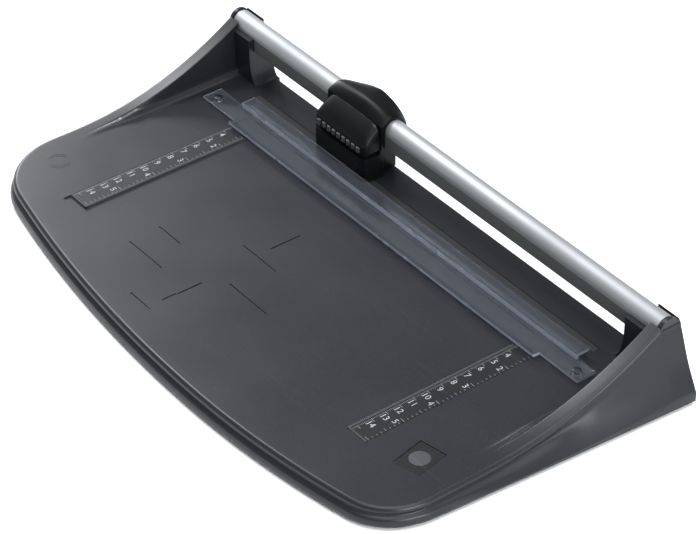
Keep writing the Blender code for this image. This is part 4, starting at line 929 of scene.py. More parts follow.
    def body(self, bench: Bench) -> Build:
        """The swept moulding, closed by its deck, its bottom and its back."""
        rows = []
        for x, y, angle in self.stations():
            out = (math.cos(angle), math.sin(angle))
            rows.append([(x + out[0] * s, y + out[1] * s, z) for s, z in self.section(y)])
        obj = bench.sheet("base_moulding", rows)
        count = len(rows[0])
        total = len(rows) * count
        loops = (
            [i for i in range(0, total, count)],
            [i for i in range(count - 1, total, count)],
            [*range(count), *range(total - count, total)],
        )
        for loop in loops:
            bench.only(obj)
            bpy.ops.object.mode_set(mode="EDIT")
            bpy.ops.mesh.select_mode(type="VERT")
            bpy.ops.mesh.select_all(action="DESELECT")
            bpy.ops.object.mode_set(mode="OBJECT")
            for index in loop:
                obj.data.vertices[index].select = True
            bpy.ops.object.mode_set(mode="EDIT")
            bpy.ops.mesh.edge_face_add()
            bpy.ops.object.mode_set(mode="OBJECT")
        return bench.outward(obj)

    def rail_outline(self, room: float, bottom: float, steps: int = 24) -> list[Flat]:
        """The rail's outside in y and z, with room round it."""
        radius = self.rail_half_width + room
        top = arc((self.rail_y, self.rail_top_z - self.rail_half_width), radius, 0, 180, steps)
        return top + [(self.rail_y - radius, bottom), (self.rail_y + radius, bottom)]

    def rail_seats(self, bench: Bench) -> list[Build]:
        """The two blocks that carry the rail, with a hollow curve down to their feet."""
        seats = []
        drop = self.guide_bottom_z - self.deck_z
        inside = self.half_width - self.cheek_band + 2 * OVERRUN
        sunk = self.deck_z - OVERRUN
        for side in SIDES:
            shape = [(inside, sunk), (inside, self.rail_bottom_z), (self.block_half_span, self.rail_bottom_z)]
            for angle in spaced(0.0, math.pi / 2, 14):
                reach = self.block_half_span - self.block_fillet * (1 - math.cos(angle))
                shape.append((reach, self.guide_bottom_z - drop * math.sin(angle)))
            shape.append((self.block_half_span - self.block_fillet, sunk))
            shape = [(side * x, z) for x, z in shape]
            rear = self.rear_y - self.back_inset
            seats.append(bench.extruded("seat", shape, self.block_front_y, rear, Axis.Y))
        return seats

    def rail_lips(self, bench: Bench) -> list[Build]:
        """The lips that stand behind the rail's ends."""
        lips = []
        for side in SIDES:
            left, right = sorted((side * self.lip_half_span, side * (self.half_width - 0.0009)))
            low = (left, self.rail_y + self.rail_half_width, self.rail_bottom_z - OVERRUN)
            high = (right, self.rear_y - self.back_inset, self.rail_top_z - self.lip_drop)
            lips.append(bench.block("lip", low, high))
        return lips

    def end_caps(self, bench: Bench) -> list[Build]:
        """The arched ends of the cheeks that cover the rail's ends."""
        caps = []
        shape = self.rail_outline(self.end_cap_rim, self.rail_bottom_z - 2 * OVERRUN)
        for side in SIDES:
            low, high = sorted((side * (self.socket_half - OVERRUN), side * (self.half_width - 0.0008)))
            caps.append(bench.extruded("end_cap", shape, low, high, Axis.X))
        return caps

    def front_edge(self, x: float) -> float:
        """Y of the rim's front edge."""
        side = 1 if x > self.apex_x else -1
        bow, radius = self.bow_radii[side > 0], self.corner_radii[side > 0]
        line = self.corner(side, 8)
        if abs(x) > abs(line[-1][0]) and x * side > 0:
            across = min(radius, abs(x - side * (self.half_width - radius)))
            return line[0][1] - math.sqrt(max(0.0, radius**2 - across**2))
        return self.front_y + bow - math.sqrt(bow**2 - (x - self.apex_x) ** 2)

    def cells(self, bench: Bench) -> list[Build]:
        """Cutters for the open cells under the deck, between its ribs."""
        limit = self.half_width - self.cheek_band - self.ledge[0] - 0.005
        columns = math.ceil(2 * limit / self.cell_pitch)
        depth = self.rear_y - self.wall - self.front_y
        rows = math.ceil(depth / self.cell_pitch)
        cutters = []
        for i in range(columns):
            left = -limit + 2 * limit * i / columns + self.rib / 2
            right = -limit + 2 * limit * (i + 1) / columns - self.rib / 2
            start = max(self.front_edge(left), self.front_edge(right)) + self.wall
            for j in range(rows):
                front = max(start, self.front_y + depth * j / rows + self.rib / 2)
                rear = self.front_y + depth * (j + 1) / rows - self.rib / 2
                if rear - front >= self.wall:
                    high = (right, rear, self.deck_z - self.roof_thickness)
                    cutters.append(bench.block("cell", (left, front, self.cell_floor), high))
        return cutters

    def cheek_cells(self, bench: Bench) -> list[Build]:
        """Cutters for the tapered hollows inside the cheeks."""
        half_rib, low_z = self.rib / 2, self.cell_floor
        depth = self.rear_y - self.wall - self.cheek_start_y
        count = math.ceil(depth / self.cell_pitch)
        inner = self.half_width - self.cheek_band + 0.0022
        top_outer = self.half_width - 0.0035
        sill = self.bottom_z + 0.002
        cutters = []
        for j in range(count):
            front = self.cheek_start_y + depth * j / count + half_rib
            rear = self.cheek_start_y + depth * (j + 1) / count - half_rib
            top = self.deck_z + self.rise(front) - 0.0040
            if rear > self.block_front_y:
                top = min(top, 0.024)
            foot = self.half_width + self.flare(front) - 0.005
            rib_x = max(top_outer, (inner + foot) / 2)
            slope = (sill - top) / (foot - top_outer)
            roof = top + slope * (rib_x - half_rib - top_outer)
            shapes = [[(inner, low_z), (rib_x - half_rib, low_z), (rib_x - half_rib, min(top, roof))]]
            if roof < top:
                shapes[0].append((top_outer, top))
            shapes[0].append((inner, top))
            if foot - rib_x >= 0.004:
                start = rib_x + half_rib
                shapes.append([(start, low_z), (foot, low_z), (foot, sill)])
                shapes[1].append((start, top + slope * (start - top_outer)))
            for side in SIDES:
                for shape in shapes:
                    mirrored = [(side * x, z) for x, z in shape]
                    cutters.append(bench.extruded("hollow", mirrored, front, rear, Axis.Y))
        return cutters

    def label_outline(self, inset: float) -> list[Flat]:
        """The label recess: a rectangle turned to follow the corner of the deck."""
        half_x, half_y = self.label_size[0] / 2 - inset, self.label_size[1] / 2 - inset
        c, s = math.cos(self.label_turn), math.sin(self.label_turn)
        corners = ((-half_x, -half_y), (half_x, -half_y), (half_x, half_y), (-half_x, half_y))
        return [(self.label[0] + a * c - b * s, self.label[1] + a * s + b * c) for a, b in corners]

    def places(self) -> tuple[Sequence[Flat], list[Flat], list[Flat]]:
        """Where the feet, the clamp's pins and the rail's screws stand."""
        pins = [(side * self.pin[0], self.pin[1]) for side in SIDES]
        return self.feet, pins, [(side * self.screw_x, self.rail_y) for side in SIDES]

    def bosses(self, bench: Bench) -> list[Build]:
        """The round bosses under the feet's, the pins' and the screws' holes."""
        feet, pins, screws = self.places()
        low, high = self.bottom_z + OVERRUN, self.deck_z - OVERRUN
        bosses = [bench.disc("boss", p, 0.009, self.foot_bore_z, high) for p in feet]
        bosses += [bench.disc("boss", p, 0.0062, low, high) for p in pins]
        return bosses + [bench.disc("boss", p, 0.0052, low, self.deck_z + 0.004) for p in screws]

    def deck_pockets(self, bench: Bench) -> list[Build]:
        """The pockets of the springs, the scales, the cutting strip and the label."""
        deck, over = self.deck_z, self.deck_z + OVERRUN
        pockets = [bench.disc("well", p, 0.0038, deck - 0.0055, over) for p in self.places()[1]]
        for middle in (-self.scale_x, self.scale_x):
            low = (middle - self.bed_half, self.scale_y[0], deck - self.bed_depth)
            pockets.append(bench.block("bed", low, (middle + self.bed_half, self.scale_y[1], over)))
        low = (-self.mat_half, self.mat_y[0], deck - self.mat_depth)
        pockets.append(bench.block("bed", low, (self.mat_half, self.mat_y[1], over)))
        label = bench.extruded("recess", self.label_outline(0.0), deck - self.label_depth, over, Axis.Z)
        return [*pockets, label]

    def marks(self, bench: Bench) -> list[Build]:
        """The thin grooves that mark paper formats."""
        grooves = []
        for x0, y0, x1, y1 in self.format_marks:
            floor = self.deck_z - (self.field_depth if y0 > self.field_front else 0.0)
            low = (x0 - self.mark_half, y0 - self.mark_half, floor - self.mark_depth)
            high = (x1 + self.mark_half, y1 + self.mark_half, self.deck_z + OVERRUN)
            grooves.append(bench.block("mark", low, high))
        return grooves

    def rail_openings(self, bench: Bench) -> list[Build]:
        """The rail's open-topped socket and the set-back between the blocks."""
        end, room = self.socket_half, self.rail_half_width + FIT
        low = (-end, self.rail_y - room, self.rail_bottom_z - FIT)
        socket = bench.block("socket", low, (end, self.rail_y + room, self.rail_top_z + 0.010))
        half = self.block_half_span - self.block_fillet
        low = (-half, self.rear_y - self.rear_gap_setback, -OVERRUN)
        return [socket, bench.block("setback", low, (half, self.rear_y + OVERRUN, self.guide_bottom_z))]

    def build(self, bench: Bench) -> Build:
        """Makes the whole moulding.

        Args:
            bench: The tools.

        Returns:
            The finished piece.
        """
        feet, pins, screws = self.places()
        base = self.body(bench)
        for helper in [*self.rail_seats(bench), *self.rail_lips(bench), *self.end_caps(bench)]:
            bench.boolean(base, [helper], "UNION")
        bench.boolean(base, self.cells(bench) + self.cheek_cells(bench))
        bench.boolean(base, self.bosses(bench), "UNION")
        low = (self.field_span[0], self.field_front, self.deck_z - self.field_depth)
        high = (self.field_span[1], self.field_rear, self.deck_z + OVERRUN)
        bench.boolean(base, [bench.block("field", low, high)])
        bench.boolean(base, self.deck_pockets(bench))
        bench.boolean(base, self.marks(bench))
        for opening in self.rail_openings(bench):
            bench.boolean(base, [opening])
        holes = [bench.disc("hole", p, 0.0073, -OVERRUN, self.foot_bore_z) for p in feet]
        bench.boolean(base, holes + [bench.disc("hole", p, 0.00325, -OVERRUN, 0.024) for p in screws])
        shanks = [bench.disc("bore", p, 0.0023, 0.0, 0.0073) for p in feet]
        shanks += [bench.disc("bore", p, 0.00175, 0.010, self.rail_top_z - 0.002) for p in screws]
        shanks += [bench.disc("bore", p, 0.00165, 0.004, self.deck_z - 0.002) for p in pins]
        bench.boolean(base, shanks)
        bench.rounded(base, 0.00035, 2, 50.0)
        return bench.finish(base, Body.BASE, "base", "base_shell")


@dataclass
class DeckFittings:
    """The scales with their ridges, the cutting strip, the label plate, the rings and the feet."""

    scale_x: float = 0.1402
    scale_half: float = 0.0072
    scale_front: float = -0.063
    scale_rear: float = 0.058
    ridge_rear: float = 0.0555
    deck_z: float = 0.014
    cut_y: float = 0.0905
    centimetre: float = 0.01
    inch: float = 0.0254
    long_tick: float = 0.0034
    mark_height: float = 0.00006
    figure_height: float = 0.0041
    ring_half: float = 0.00035

    def ticks(self, bench: Bench, middle: float) -> Build:
        """The millimetre and sixteenth-inch ticks of one scale, in one piece."""
        marks = []
        low, high = self.deck_z - 0.0002, self.deck_z + self.mark_height

        def tick(x: float, y: float, reach: float, half: float) -> None:
            """One tick from x towards the middle of the strip."""
            left, right = sorted((x, x + reach))
            marks.append(bench.block("tick", (left, y - half, low), (right, y + half, high)))

        edge = self.scale_half - 0.0003
        scales = (
            (middle - edge, 1, self.centimetre / 10, range(33, 154), (10, 5), (0.0022, 0.0013), 0.00010),
            (middle + edge, -1, self.inch / 8, range(11, 49), (8, 4), (0.0024, 0.0015), 0.00012),
        )
        for x, inward, pitch, steps, (whole, half), (middling, short), fine in scales:
            for step in steps:
                y = self.cut_y - pitch * step
                if self.scale_front < y < self.scale_rear:
                    reach = self.long_tick if step % whole == 0 else middling if step % half == 0 else short
                    tick(x, y, inward * reach, 0.00016 if step % whole == 0 else fine)
        return bench.joined(marks, "ticks")

    def figures(self, bench: Bench, middle: float) -> Build:
        """The figures of one scale: centimetres on its left side, inches on its right."""
        parts = []
        scales = (
            (middle - 0.0030, self.centimetre, range(4, 15), 0.0033),
            (middle + 0.0036, self.inch, range(2, 6), 0.0040),
        )
        for x, pitch, numbers, below in scales:
            for number in numbers:
                place = (x, self.cut_y - pitch * number - below, self.deck_z)
                if place[1] > self.scale_front + 0.002 or pitch == self.centimetre:
                    parts.append(bench.lettering(str(number), self.figure_height, place, self.mark_height))
        return bench.joined(parts, "figures")

    def ridge(self, bench: Bench, side: int, name: str) -> Build:
        """The low half-round ridge along the inner side of one scale and round its front end."""
        radius, foot = 0.0007, self.deck_z - 0.0009
        room = self.scale_half + FIT
        x = side * (self.scale_x - room - radius)
        y = self.scale_front - FIT - radius
        shape = [*arc((0.0, self.deck_z - 0.0001), radius, 0, 180, 8), (-radius, foot), (radius, foot)]
        along, across = ([(start + a, z) for a, z in shape] for start in (x, y))
        left, right = sorted((x - side * radius, side * (self.scale_x + room)))
        parts = [bench.extruded("ridge", along, y - radius, self.ridge_rear, Axis.Y)]
        parts.append(bench.extruded("ridge", across, left, right, Axis.X))
        return bench.joined([bench.smoothed(part) for part in parts], name)

    def label_plate(self, bench: Bench) -> None:
        """The plain plate in the label recess, with a plain raised disc on it."""
        base = BaseMoulding()
        low = self.deck_z - 0.0006
        plate = bench.extruded("label_plate", base.label_outline(0.0004), low - 0.0001, low + 0.0003, Axis.Z)
        bench.finish(bench.rounded(plate, 0.00012), Body.BASE, "ruler")
        rim, crest = low + 0.00042, low + 0.00052
        profile = [(0.0, low), (0.0062, low), (0.0062, rim), (0.0058, crest), (0.0, crest)]
        disc = turned_piece(bench, "label_relief", profile, (*base.label, 0.0), steps=48)
        bench.finish(bench.smoothed(disc), Body.BASE, "relief")

    def ring_mark(self, bench: Bench) -> None:
        """Two faint raised rings on the left of the deck."""
        rings = []
        low, high = self.deck_z - 0.0002, self.deck_z + 0.00012
        for radius in (0.0055, 0.0075):
            inner, outer = radius - self.ring_half, radius + self.ring_half
            profile = [(inner, low), (outer, low), (outer, high), (inner, high), (inner, low)]
            rings.append(turned_piece(bench, "ring", profile, (-0.1825, -0.0500, 0.0), steps=64))
        bench.finish(bench.smoothed(bench.joined(rings, "deck_rings")), Body.BASE, "base")

    def foot(self, bench: Bench, node: str) -> None:
        """A rubber foot with a grooved sole, in place of its CAD node."""
        low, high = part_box(node)
        centre = ((low.x + high.x) / 2, (low.y + high.y) / 2)
        profile = [(0.0, 0.0), (0.0030, 0.0), (0.0034, 0.0005), (0.0040, 0.0005), (0.0044, 0.0),
                   (0.0063, 0.0), (0.0068, 0.0003), (0.0070, 0.0010), (0.0070, 0.0040),
                   (0.0020, 0.0040), (0.0020, 0.0070), (0.0, 0.0070)]
        foot = turned_piece(bench, f"{node}_pad", profile, (*centre, 0.0))
        bench.finish(bench.smoothed(foot), Body.BASE, "rubber", node)

    def build(self, bench: Bench) -> None:
        """Makes and dresses the fittings."""
        for name, middle in (("left", -self.scale_x), ("right", self.scale_x)):
            strip = bench.eased(f"ruler_{name}", f"scale_{name}", 0.0002)
            bench.finish(strip, Body.BASE, "ruler", f"ruler_{name}")
            ticks = self.ticks(bench, middle)
            ticks.name = f"scale_{name}_ticks"
            bench.finish(ticks, Body.BASE, "tick")
            figures = self.figures(bench, middle)
            figures.name = f"scale_{name}_figures"
            bench.finish(figures, Body.BASE, "print")
        for side, name in zip(SIDES, ("left", "right")):
            # The ridges take the pale relief finish: partly a painted highlight along each bead.
            bench.finish(self.ridge(bench, side, f"scale_{name}_ridge"), Body.BASE, "relief")
        self.label_plate(bench)
        self.ring_mark(bench)
        strip = bench.eased("cutting_strip", "cutting_mat", 0.00025)
        bench.finish(strip, Body.BASE, "strip", "cutting_strip")
        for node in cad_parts:
            if node.startswith("foot_"):
                self.foot(bench, node)


def turned_piece(bench: Bench, name: str, profile: Sequence[Flat], place: Point, turns: Axis = Axis.Z,
                 steps: int = 40) -> Build:
    """A profile spun round an axis.

    Args:
        bench: The tools.
        name: The object's name.
        profile: Radius and height, from the axis to the axis or closed on itself.
        place: Where the axis starts.
        turns: The axis.
        steps: The steps round.

    Returns:
        The closed solid.
    """
    rows = []
    for angle in spaced(0.0, 2 * math.pi, steps):
        row = []
        for radius, height in profile:
            across = (radius * math.cos(angle), radius * math.sin(angle))
            point = turns.place(across[0], across[1], height)
            row.append(tuple(point[i] + place[i] for i in range(3)))
        rows.append(row)
    return bench.outward(bench.sheet(name, rows))


# ---- the rail ------------------------------------------------------------------------------
@dataclass
class RailAssembly:
    """The aluminium rail, its guide strip, end plugs and screws."""

    half_length: float = 0.2025
    width: float = 0.0136
    wall: float = 0.0013
    slot: float = 0.0068
    cavity_chamfer: float = 0.0018
    base: BaseMoulding = field(default_factory=BaseMoulding)

    def rail(self, bench: Bench) -> Build:
        """The hollow extrusion with a slot underneath."""
        base = self.base
        outside = base.rail_outline(0.0, base.rail_bottom_z, 40)
        obj = bench.extruded("rail_extrusion", outside, -self.half_length, self.half_length, Axis.X)
        half = self.width / 2 - self.wall
        floor, roof = base.rail_bottom_z + self.wall, base.rail_top_z - self.wall - 0.0012
        y = base.rail_y
        cut, shoulder = half - self.cavity_chamfer, roof - self.cavity_chamfer
        cavity = [(y - half, floor), (y + half, floor), (y + half, shoulder), (y + cut, roof),
                  (y - cut, roof), (y - half, shoulder)]
        reach = self.half_length + OVERRUN
        bench.boolean(obj, [bench.extruded("cavity", cavity, -reach, reach, Axis.X)])
        low = (-reach, y - self.slot / 2, base.rail_bottom_z - 0.001)
        bench.boolean(obj, [bench.block("slot", low, (reach, y + self.slot / 2, floor + 0.0005))])
        return bench.rounded(obj, 0.00025, 2, 50.0)

    def build(self, bench: Bench) -> None:
        """Makes and dresses the rail and what is fixed to it."""
        bench.finish(self.rail(bench), Body.BASE, "aluminium", "rail")
        bench.finish(bench.eased("rail_guide", "guide_strip", 0.0003), Body.BASE, "guide", "rail_guide")
        for side in ("left", "right"):
            plug = bench.eased(f"rail_plug_{side}", f"end_plug_{side}", 0.0002)
            bench.finish(plug, Body.BASE, "plug", f"rail_plug_{side}")
            cross_headed(bench, f"rail_screw_{side}", Body.BASE, 0.0014, 0.0010)


def cross_headed(bench: Bench, node: str, body: Body, reach: float, depth: float) -> None:
    """A screw with a cross recess in its head, in place of its CAD node.

    Args:
        bench: The tools.
        node: The CAD node.
        body: The body it rides on.
        reach: The recess's reach from the middle.
        depth: Its depth.
    """
    low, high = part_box(node)
    x, y = (low.x + high.x) / 2, (low.y + high.y) / 2
    screw = bench.copied(node, f"{node}_cross")
    half = reach * 0.22
    for spread in ((reach, half), (half, reach)):
        corner = (x - spread[0], y - spread[1], low.z - OVERRUN)
        bench.boolean(screw, [bench.block("recess", corner, (x + spread[0], y + spread[1], low.z + depth))])
    bench.finish(bench.smoothed(screw, 32.0), body, "steel", node)


# ---- the clamp -----------------------------------------------------------------------------
@dataclass
class ClampAssembly:
    """The clear strip that holds the paper, its pins and its springs."""

    bottom: float = 0.0153
    thickness: float = 0.0018
    lip_y: float = 0.0560
    plate_y: Flat = (0.0610, 0.0750)
    shelf_y: float = 0.0832
    shelf_rise: float = 0.0034
    lip_span: Flat = (-0.1480, 0.1490)
    plate_span: Flat = (-0.1825, 0.1820)
    shelf_span: Flat = (-0.1570, 0.1670)

    def strip(self, bench: Bench) -> Build:
        """The whole strip: front lip, plate with two tabs, and raised rear shelf."""
        low, top = self.bottom, self.bottom + self.thickness
        shelf = low + self.shelf_rise
        riser = self.plate_y[1] - self.thickness
        rear = [(self.plate_y[1], low), (self.plate_y[1], shelf), (self.shelf_y, shelf),
                (self.shelf_y, shelf + self.thickness), (riser, shelf + self.thickness), (riser, top)]
        lip = [(self.lip_y, low + 0.0006), (self.lip_y + 0.0010, low), *rear,
               (self.lip_y + 0.0030, top), (self.lip_y, top + 0.0008)]
        obj = bench.extruded("paper_clamp", lip, *self.lip_span, Axis.X)
        overlap = self.plate_y[0] + 0.004
        back = bench.extruded("back", [(overlap, low), *rear, (overlap, top)], *self.shelf_span, Axis.X)
        bench.boolean(obj, [back], "UNION")
        near, far = zip(self.plate_span, self.plate_y)
        bench.boolean(obj, [bench.block("plate", (*near, low), (*far, top))], "UNION")
        pins = BaseMoulding().places()[1]
        bench.boolean(obj, [bench.disc("hole", p, 0.00165, low - OVERRUN, top + OVERRUN) for p in pins])
        return bench.rounded(obj, 0.00028, 2, 35.0)

    def build(self, bench: Bench) -> None:
        """Makes and dresses the clamp."""
        strip = bench.finish(self.strip(bench), Body.CLAMP, "clear", "clamp_strip")
        # The front and end faces take the paler edge finish: a painted highlight for the strip's bright front
        # edge.
        strip.data.materials.append(bench.materials["clear_painted_bright_edge"])
        for face in strip.data.polygons:
            if face.normal.y < -0.6 or abs(face.normal.x) > 0.6:
                face.material_index = 1
        for side in ("left", "right"):
            pin = bench.eased(f"clamp_pin_{side}", f"guide_pin_{side}", 0.00018, 2, 60.0)
            bench.finish(pin, Body.BASE, "blackened", f"clamp_pin_{side}")
            bench.sprung(f"clamp_spring_{side}", Body.BASE, Body.CLAMP)


# ---- the carriage --------------------------------------------------------------------------
@dataclass
class Carriage:
    """The cutter: saddle over the rail, guard, ribbed cap, blade and what holds them."""

    x: float = -0.0706
    half: float = 0.0270
    front_y: float = 0.0970
    rear_y: float = 0.1170
    side_z: float = 0.0557
    top_z: float = 0.0597
    crown_y: float = 0.1050
    crown_shift: float = 0.0018
    front_top_z: float = 0.0532
    front_crown: float = 0.0005
    rear_top_z: float = 0.0594
    rear_side_z: float = 0.0455
    floor_z: float = 0.0352
    leg_z: float = 0.0343
    leg_y: float = 0.1146
    leg_inset: float = 0.003
    cap_half: float = 0.0255
    cap_y: Flat = (0.0846, 0.0966)
    cap_bottom: float = 0.0355
    cap_rim: float = 0.0035
    ribs: int = 9
    rib_radius: float = 0.0016
    rib_half_span: float = 0.0195
    base: BaseMoulding = field(default_factory=BaseMoulding)

    def saddle_height(self, x: float, y: float) -> float:
        """Height of the saddle's top: an arch over the rail, nearly level at its front edge."""
        if y < self.crown_y:
            share = ((self.crown_y - y) / (self.crown_y - self.front_y)) ** 1.6
            crown = self.top_z - (self.top_z - self.front_top_z) * share
            side = self.side_z - (self.side_z - self.front_top_z + self.front_crown) * share
        else:
            share = ((y - self.crown_y) / (self.rear_y - self.crown_y)) ** 2.2
            crown = self.top_z - (self.top_z - self.rear_top_z) * share
            side = self.side_z - (self.side_z - self.rear_side_z) * share
        offset = x - self.x - self.crown_shift
        if offset < 0:
            across = min(1.0, -offset / (self.half + self.crown_shift)) ** 1.2
        else:
            across = min(1.0, offset / (self.half - self.crown_shift)) ** 1.7
        return side + (crown - side) * math.sqrt(1 - across)

    def saddle(self, bench: Bench) -> Build:
        """The housing over the rail."""
        xs = cosine_spaced(self.x, self.half, 48)
        ys = cosine_spaced((self.front_y + self.rear_y) / 2, (self.rear_y - self.front_y) / 2, 22)
        dome = bench.sheet("saddle_housing", [[(x, y, self.saddle_height(x, y)) for x in xs] for y in ys])
        drop = {"value": (0.0, 0.0, -0.2)}
        bench.edit(dome, lambda: bpy.ops.mesh.extrude_region_move(TRANSFORM_OT_translate=drop))
        for vertex in dome.data.vertices:
            if vertex.co.z < 0.0:
                vertex.co.z = self.floor_z
        bench.outward(dome)
        half = self.half - self.leg_inset
        low = (self.x - half, self.leg_y, self.leg_z)
        high = (self.x + half, self.rear_y - 0.0006, self.floor_z + 0.004)
        bench.boolean(dome, [bench.block("leg", low, high)], "UNION")
        channel = self.base.rail_outline(0.0004, self.floor_z - 0.005, 28)
        reach = self.half + OVERRUN
        bench.boolean(dome, [bench.extruded("channel", channel, self.x - reach, self.x + reach, Axis.X)])
        return bench.rounded(dome, 0.0006, 3, 42.0)

    def cap_height(self, x: float, y: float) -> float:
        """Height of the cap's slanted face."""
        low = self.cap_bottom + self.cap_rim
        share = min(1.0, max(0.0, (y - self.cap_y[0]) / (self.cap_y[1] - self.cap_y[0])))
        crest = self.saddle_height(x, self.front_y)
        edge = max(0.0, 1 - (abs(x - self.x) / self.cap_half) ** 8)
        return low + (crest - low) * share**0.6 * (0.3 + 0.7 * edge**0.5)

    def cap_outline(self, inset: float) -> list[Flat]:
        """The cap's outline: a rectangle whose front corners are round."""
        left, right = self.x - self.cap_half + inset, self.x + self.cap_half - inset
        front, rear = self.cap_y[0] + inset, self.cap_y[1] - inset
        radius = max(0.0015, 0.0045 - inset)
        line = arc((left + radius, front + radius), radius, 180, 270, 8)
        line += [(x, front) for x in spaced(left + radius, right - radius, 30)[1:-1]]
        line += arc((right - radius, front + radius), radius, 270, 360, 8)
        line += [(right, y) for y in spaced(front + radius, rear, 6)[1:]]
        line += [(x, rear) for x in spaced(right, left, 34)[1:]]
        return line + [(left, y) for y in spaced(rear, front + radius, 6)[1:-1]]

    def capped(self, bench: Bench, name: str, inset: float, bottom: float, drop: float) -> Build:
        """A solid on the cap's outline whose top follows the slanted face.

        Args:
            bench: The tools.
            name: The object's name.
            inset: How far it lies inside the cap.
            bottom: Its underside.
            drop: How far its top lies below the slanted face.

        Returns:
            The closed solid.
        """
        outline = self.cap_outline(inset)
        outline.append(outline[0])
        mid_x, mid_y = self.x, sum(self.cap_y) / 2
        rows = [[(mid_x, mid_y, bottom)] * len(outline), [(x, y, bottom) for x, y in outline]]
        for scale in [1 - (k / 14) ** 1.15 for k in range(15)]:
            ring = [(mid_x + (x - mid_x) * scale, mid_y + (y - mid_y) * scale) for x, y in outline]
            rows.append([(x, y, self.cap_height(x, y) - drop) for x, y in ring])
        return bench.outward(bench.sheet(name, rows))

    def cap(self, bench: Bench) -> Build:
        """The hollow cap that is pressed down."""
        obj = self.capped(bench, "press_cap", 0.0, self.cap_bottom, 0.0)
        bench.boolean(obj, [self.capped(bench, "hollow", 0.0015, self.cap_bottom - OVERRUN, 0.0022)])
        return bench.rounded(obj, 0.0005, 2, 45.0)

    def grip_ribs(self, bench: Bench) -> Build:
        """The short upright ribs along the cap's front edge."""
        parts = []
        low = self.cap_bottom + 0.0004
        for place in spaced(-self.rib_half_span, self.rib_half_span, self.ribs - 1):
            shape = arc((self.x + place, self.cap_y[0] + 0.0003), self.rib_radius, 180, 360, 8)
            rib = bench.extruded("rib", shape, low, low + self.cap_rim + 0.0002, Axis.Z)
            parts.append(bench.rounded(rib, 0.0005, 3, 50.0))
        return bench.joined(parts, "grip_ribs")

    def build(self, bench: Bench) -> None:
        """Makes and dresses the carriage."""
        bench.finish(self.saddle(bench), Body.CARRIAGE, "shell", "carriage_shell")
        guard = bench.eased("carriage_base", "blade_guard", 0.0004, 2, 50.0)
        bench.finish(guard, Body.CARRIAGE, "guard", "carriage_base")
        for node in ("carriage_shoe_front", "carriage_shoe_rear"):
            bench.finish(bench.eased(node, f"{node}_pad", 0.0002), Body.CARRIAGE, "shoe", node)
        for side in ("left", "right"):
            cross_headed(bench, f"carriage_screw_{side}", Body.CARRIAGE, 0.0010, 0.0007)
        bench.sprung("button_spring", Body.CARRIAGE, Body.BUTTON)
        bench.finish(self.cap(bench), Body.BUTTON, "button", "press_button")
        # The grip ribs take the pale rib finish: painted highlights for their glints.
        bench.finish(self.grip_ribs(bench), Body.BUTTON, "rib")
        bench.finish(bench.eased("blade_holder", "blade_fork", 0.0002), Body.BUTTON, "guard", "blade_holder")
        for node in ("blade_axle", "blade_clip"):
            bench.dress(node, "steel")
        blade = bench.copied("cutting_blade", "round_blade")
        bench.finish(bench.smoothed(blade, 12.0), Body.BLADE, "blade", "cutting_blade")
        bench.dress("blade_hub", "shoe")


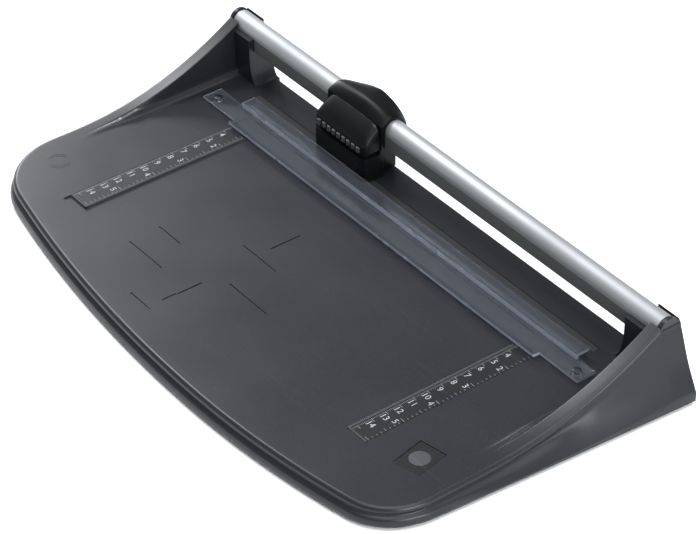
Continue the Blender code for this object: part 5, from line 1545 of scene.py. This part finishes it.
# ---- the studio ----------------------------------------------------------------------------
@dataclass
class Studio:
    """The floor, the lights and the camera."""

    azimuth: float = 52.266
    elevation: float = 37.327
    lens: float = 154.29
    target: Point = (-0.0026, -0.003, 0.014)
    offset: Point = (0.034725, 0.002316, 1.787958)
    lights: tuple[tuple[str, Point, Point, Flat, float, Colour], ...] = (
        ("overhead", (0.35, -0.10, 1.9), (0, 0, 0), (1.9, 1.7), 40.0, (1, 1, 1)),
        ("left_low", (-1.90, 0.50, 0.70), (-0.14, -0.04, 0.02), (0.7, 0.40), 25.0, (0.92, 0.95, 1.0)),
        ("left_high", (-1.25, 0.05, 1.45), (-0.14, 0.03, 0.03), (0.5, 0.5), 20.0, (0.94, 0.96, 1.0)),
        ("right", (1.7, -0.1, 0.7), (0.1, 0, 0.03), (1.0, 0.8), 28.0, (0.93, 0.96, 1.0)),
    )

    def camera(self) -> None:
        """The camera on its line of sight, level with the horizon."""
        a, e = math.radians(self.azimuth), math.radians(self.elevation)
        back = Vector((math.sin(a) * math.cos(e), -math.cos(a) * math.cos(e), math.sin(e)))
        right = Vector((math.cos(a), math.sin(a), 0.0))
        up = back.cross(right)
        data = bpy.data.cameras.new("camera")
        data.lens = self.lens
        data.sensor_width = 36.0
        obj = bpy.data.objects.new("camera", data)
        bpy.context.scene.collection.objects.link(obj)
        place = Vector(self.target) + right * self.offset[0] + up * self.offset[1] + back * self.offset[2]
        turn = Matrix((right, up, back)).transposed().to_4x4()
        obj.matrix_world = Matrix.Translation(place) @ turn
        bpy.context.scene.camera = obj

    @staticmethod
    def light(name: str, place: Point, aim: Point, size: Flat, power: float, colour: Colour) -> None:
        """One soft rectangular light aimed at a point."""
        data = bpy.data.lights.new(name, "AREA")
        data.shape = "RECTANGLE"
        data.size, data.size_y = size
        data.energy = power
        data.color = colour
        obj = bpy.data.objects.new(name, data)
        bpy.context.scene.collection.objects.link(obj)
        obj.location = place
        obj.rotation_euler = (Vector(aim) - Vector(place)).to_track_quat("-Z", "Y").to_euler()

    def build(self, bench: Bench) -> None:
        """Sets up the floor, the lights, the sky and the camera."""
        bpy.ops.object.select_all(action="DESELECT")
        bpy.ops.mesh.primitive_plane_add(size=14.0, location=(0, 0, -0.0002))
        floor = bench.placed(bpy.context.active_object, "floor")
        paper = bpy.data.materials.new("floor_paper")
        paper.use_nodes = True
        shader = paper.node_tree.nodes["Principled BSDF"]
        shader.inputs["Base Color"].default_value = (0.96, 0.96, 0.96, 1.0)
        shader.inputs["Roughness"].default_value = 0.9
        shader.inputs["Specular IOR Level"].default_value = 0.1
        floor.data.materials.append(paper)
        world = bpy.data.worlds.new("soft_sky")
        bpy.context.scene.world = world
        world.use_nodes = True
        sky = world.node_tree.nodes["Background"]
        sky.inputs["Color"].default_value = (0.95, 0.97, 1.0, 1.0)
        sky.inputs["Strength"].default_value = 0.36
        for settings in self.lights:
            self.light(*settings)
        self.camera()
        bpy.context.scene.view_settings.view_transform = "Standard"


def main() -> None:
    """Builds every piece in order, then the studio."""
    logging.basicConfig(level=logging.INFO, format="%(name)s: %(message)s")
    bench = Bench()
    for maker in (BaseMoulding, DeckFittings, RailAssembly, ClampAssembly, Carriage, Studio):
        maker().build(bench)


if __name__ == "__main__":
    main()
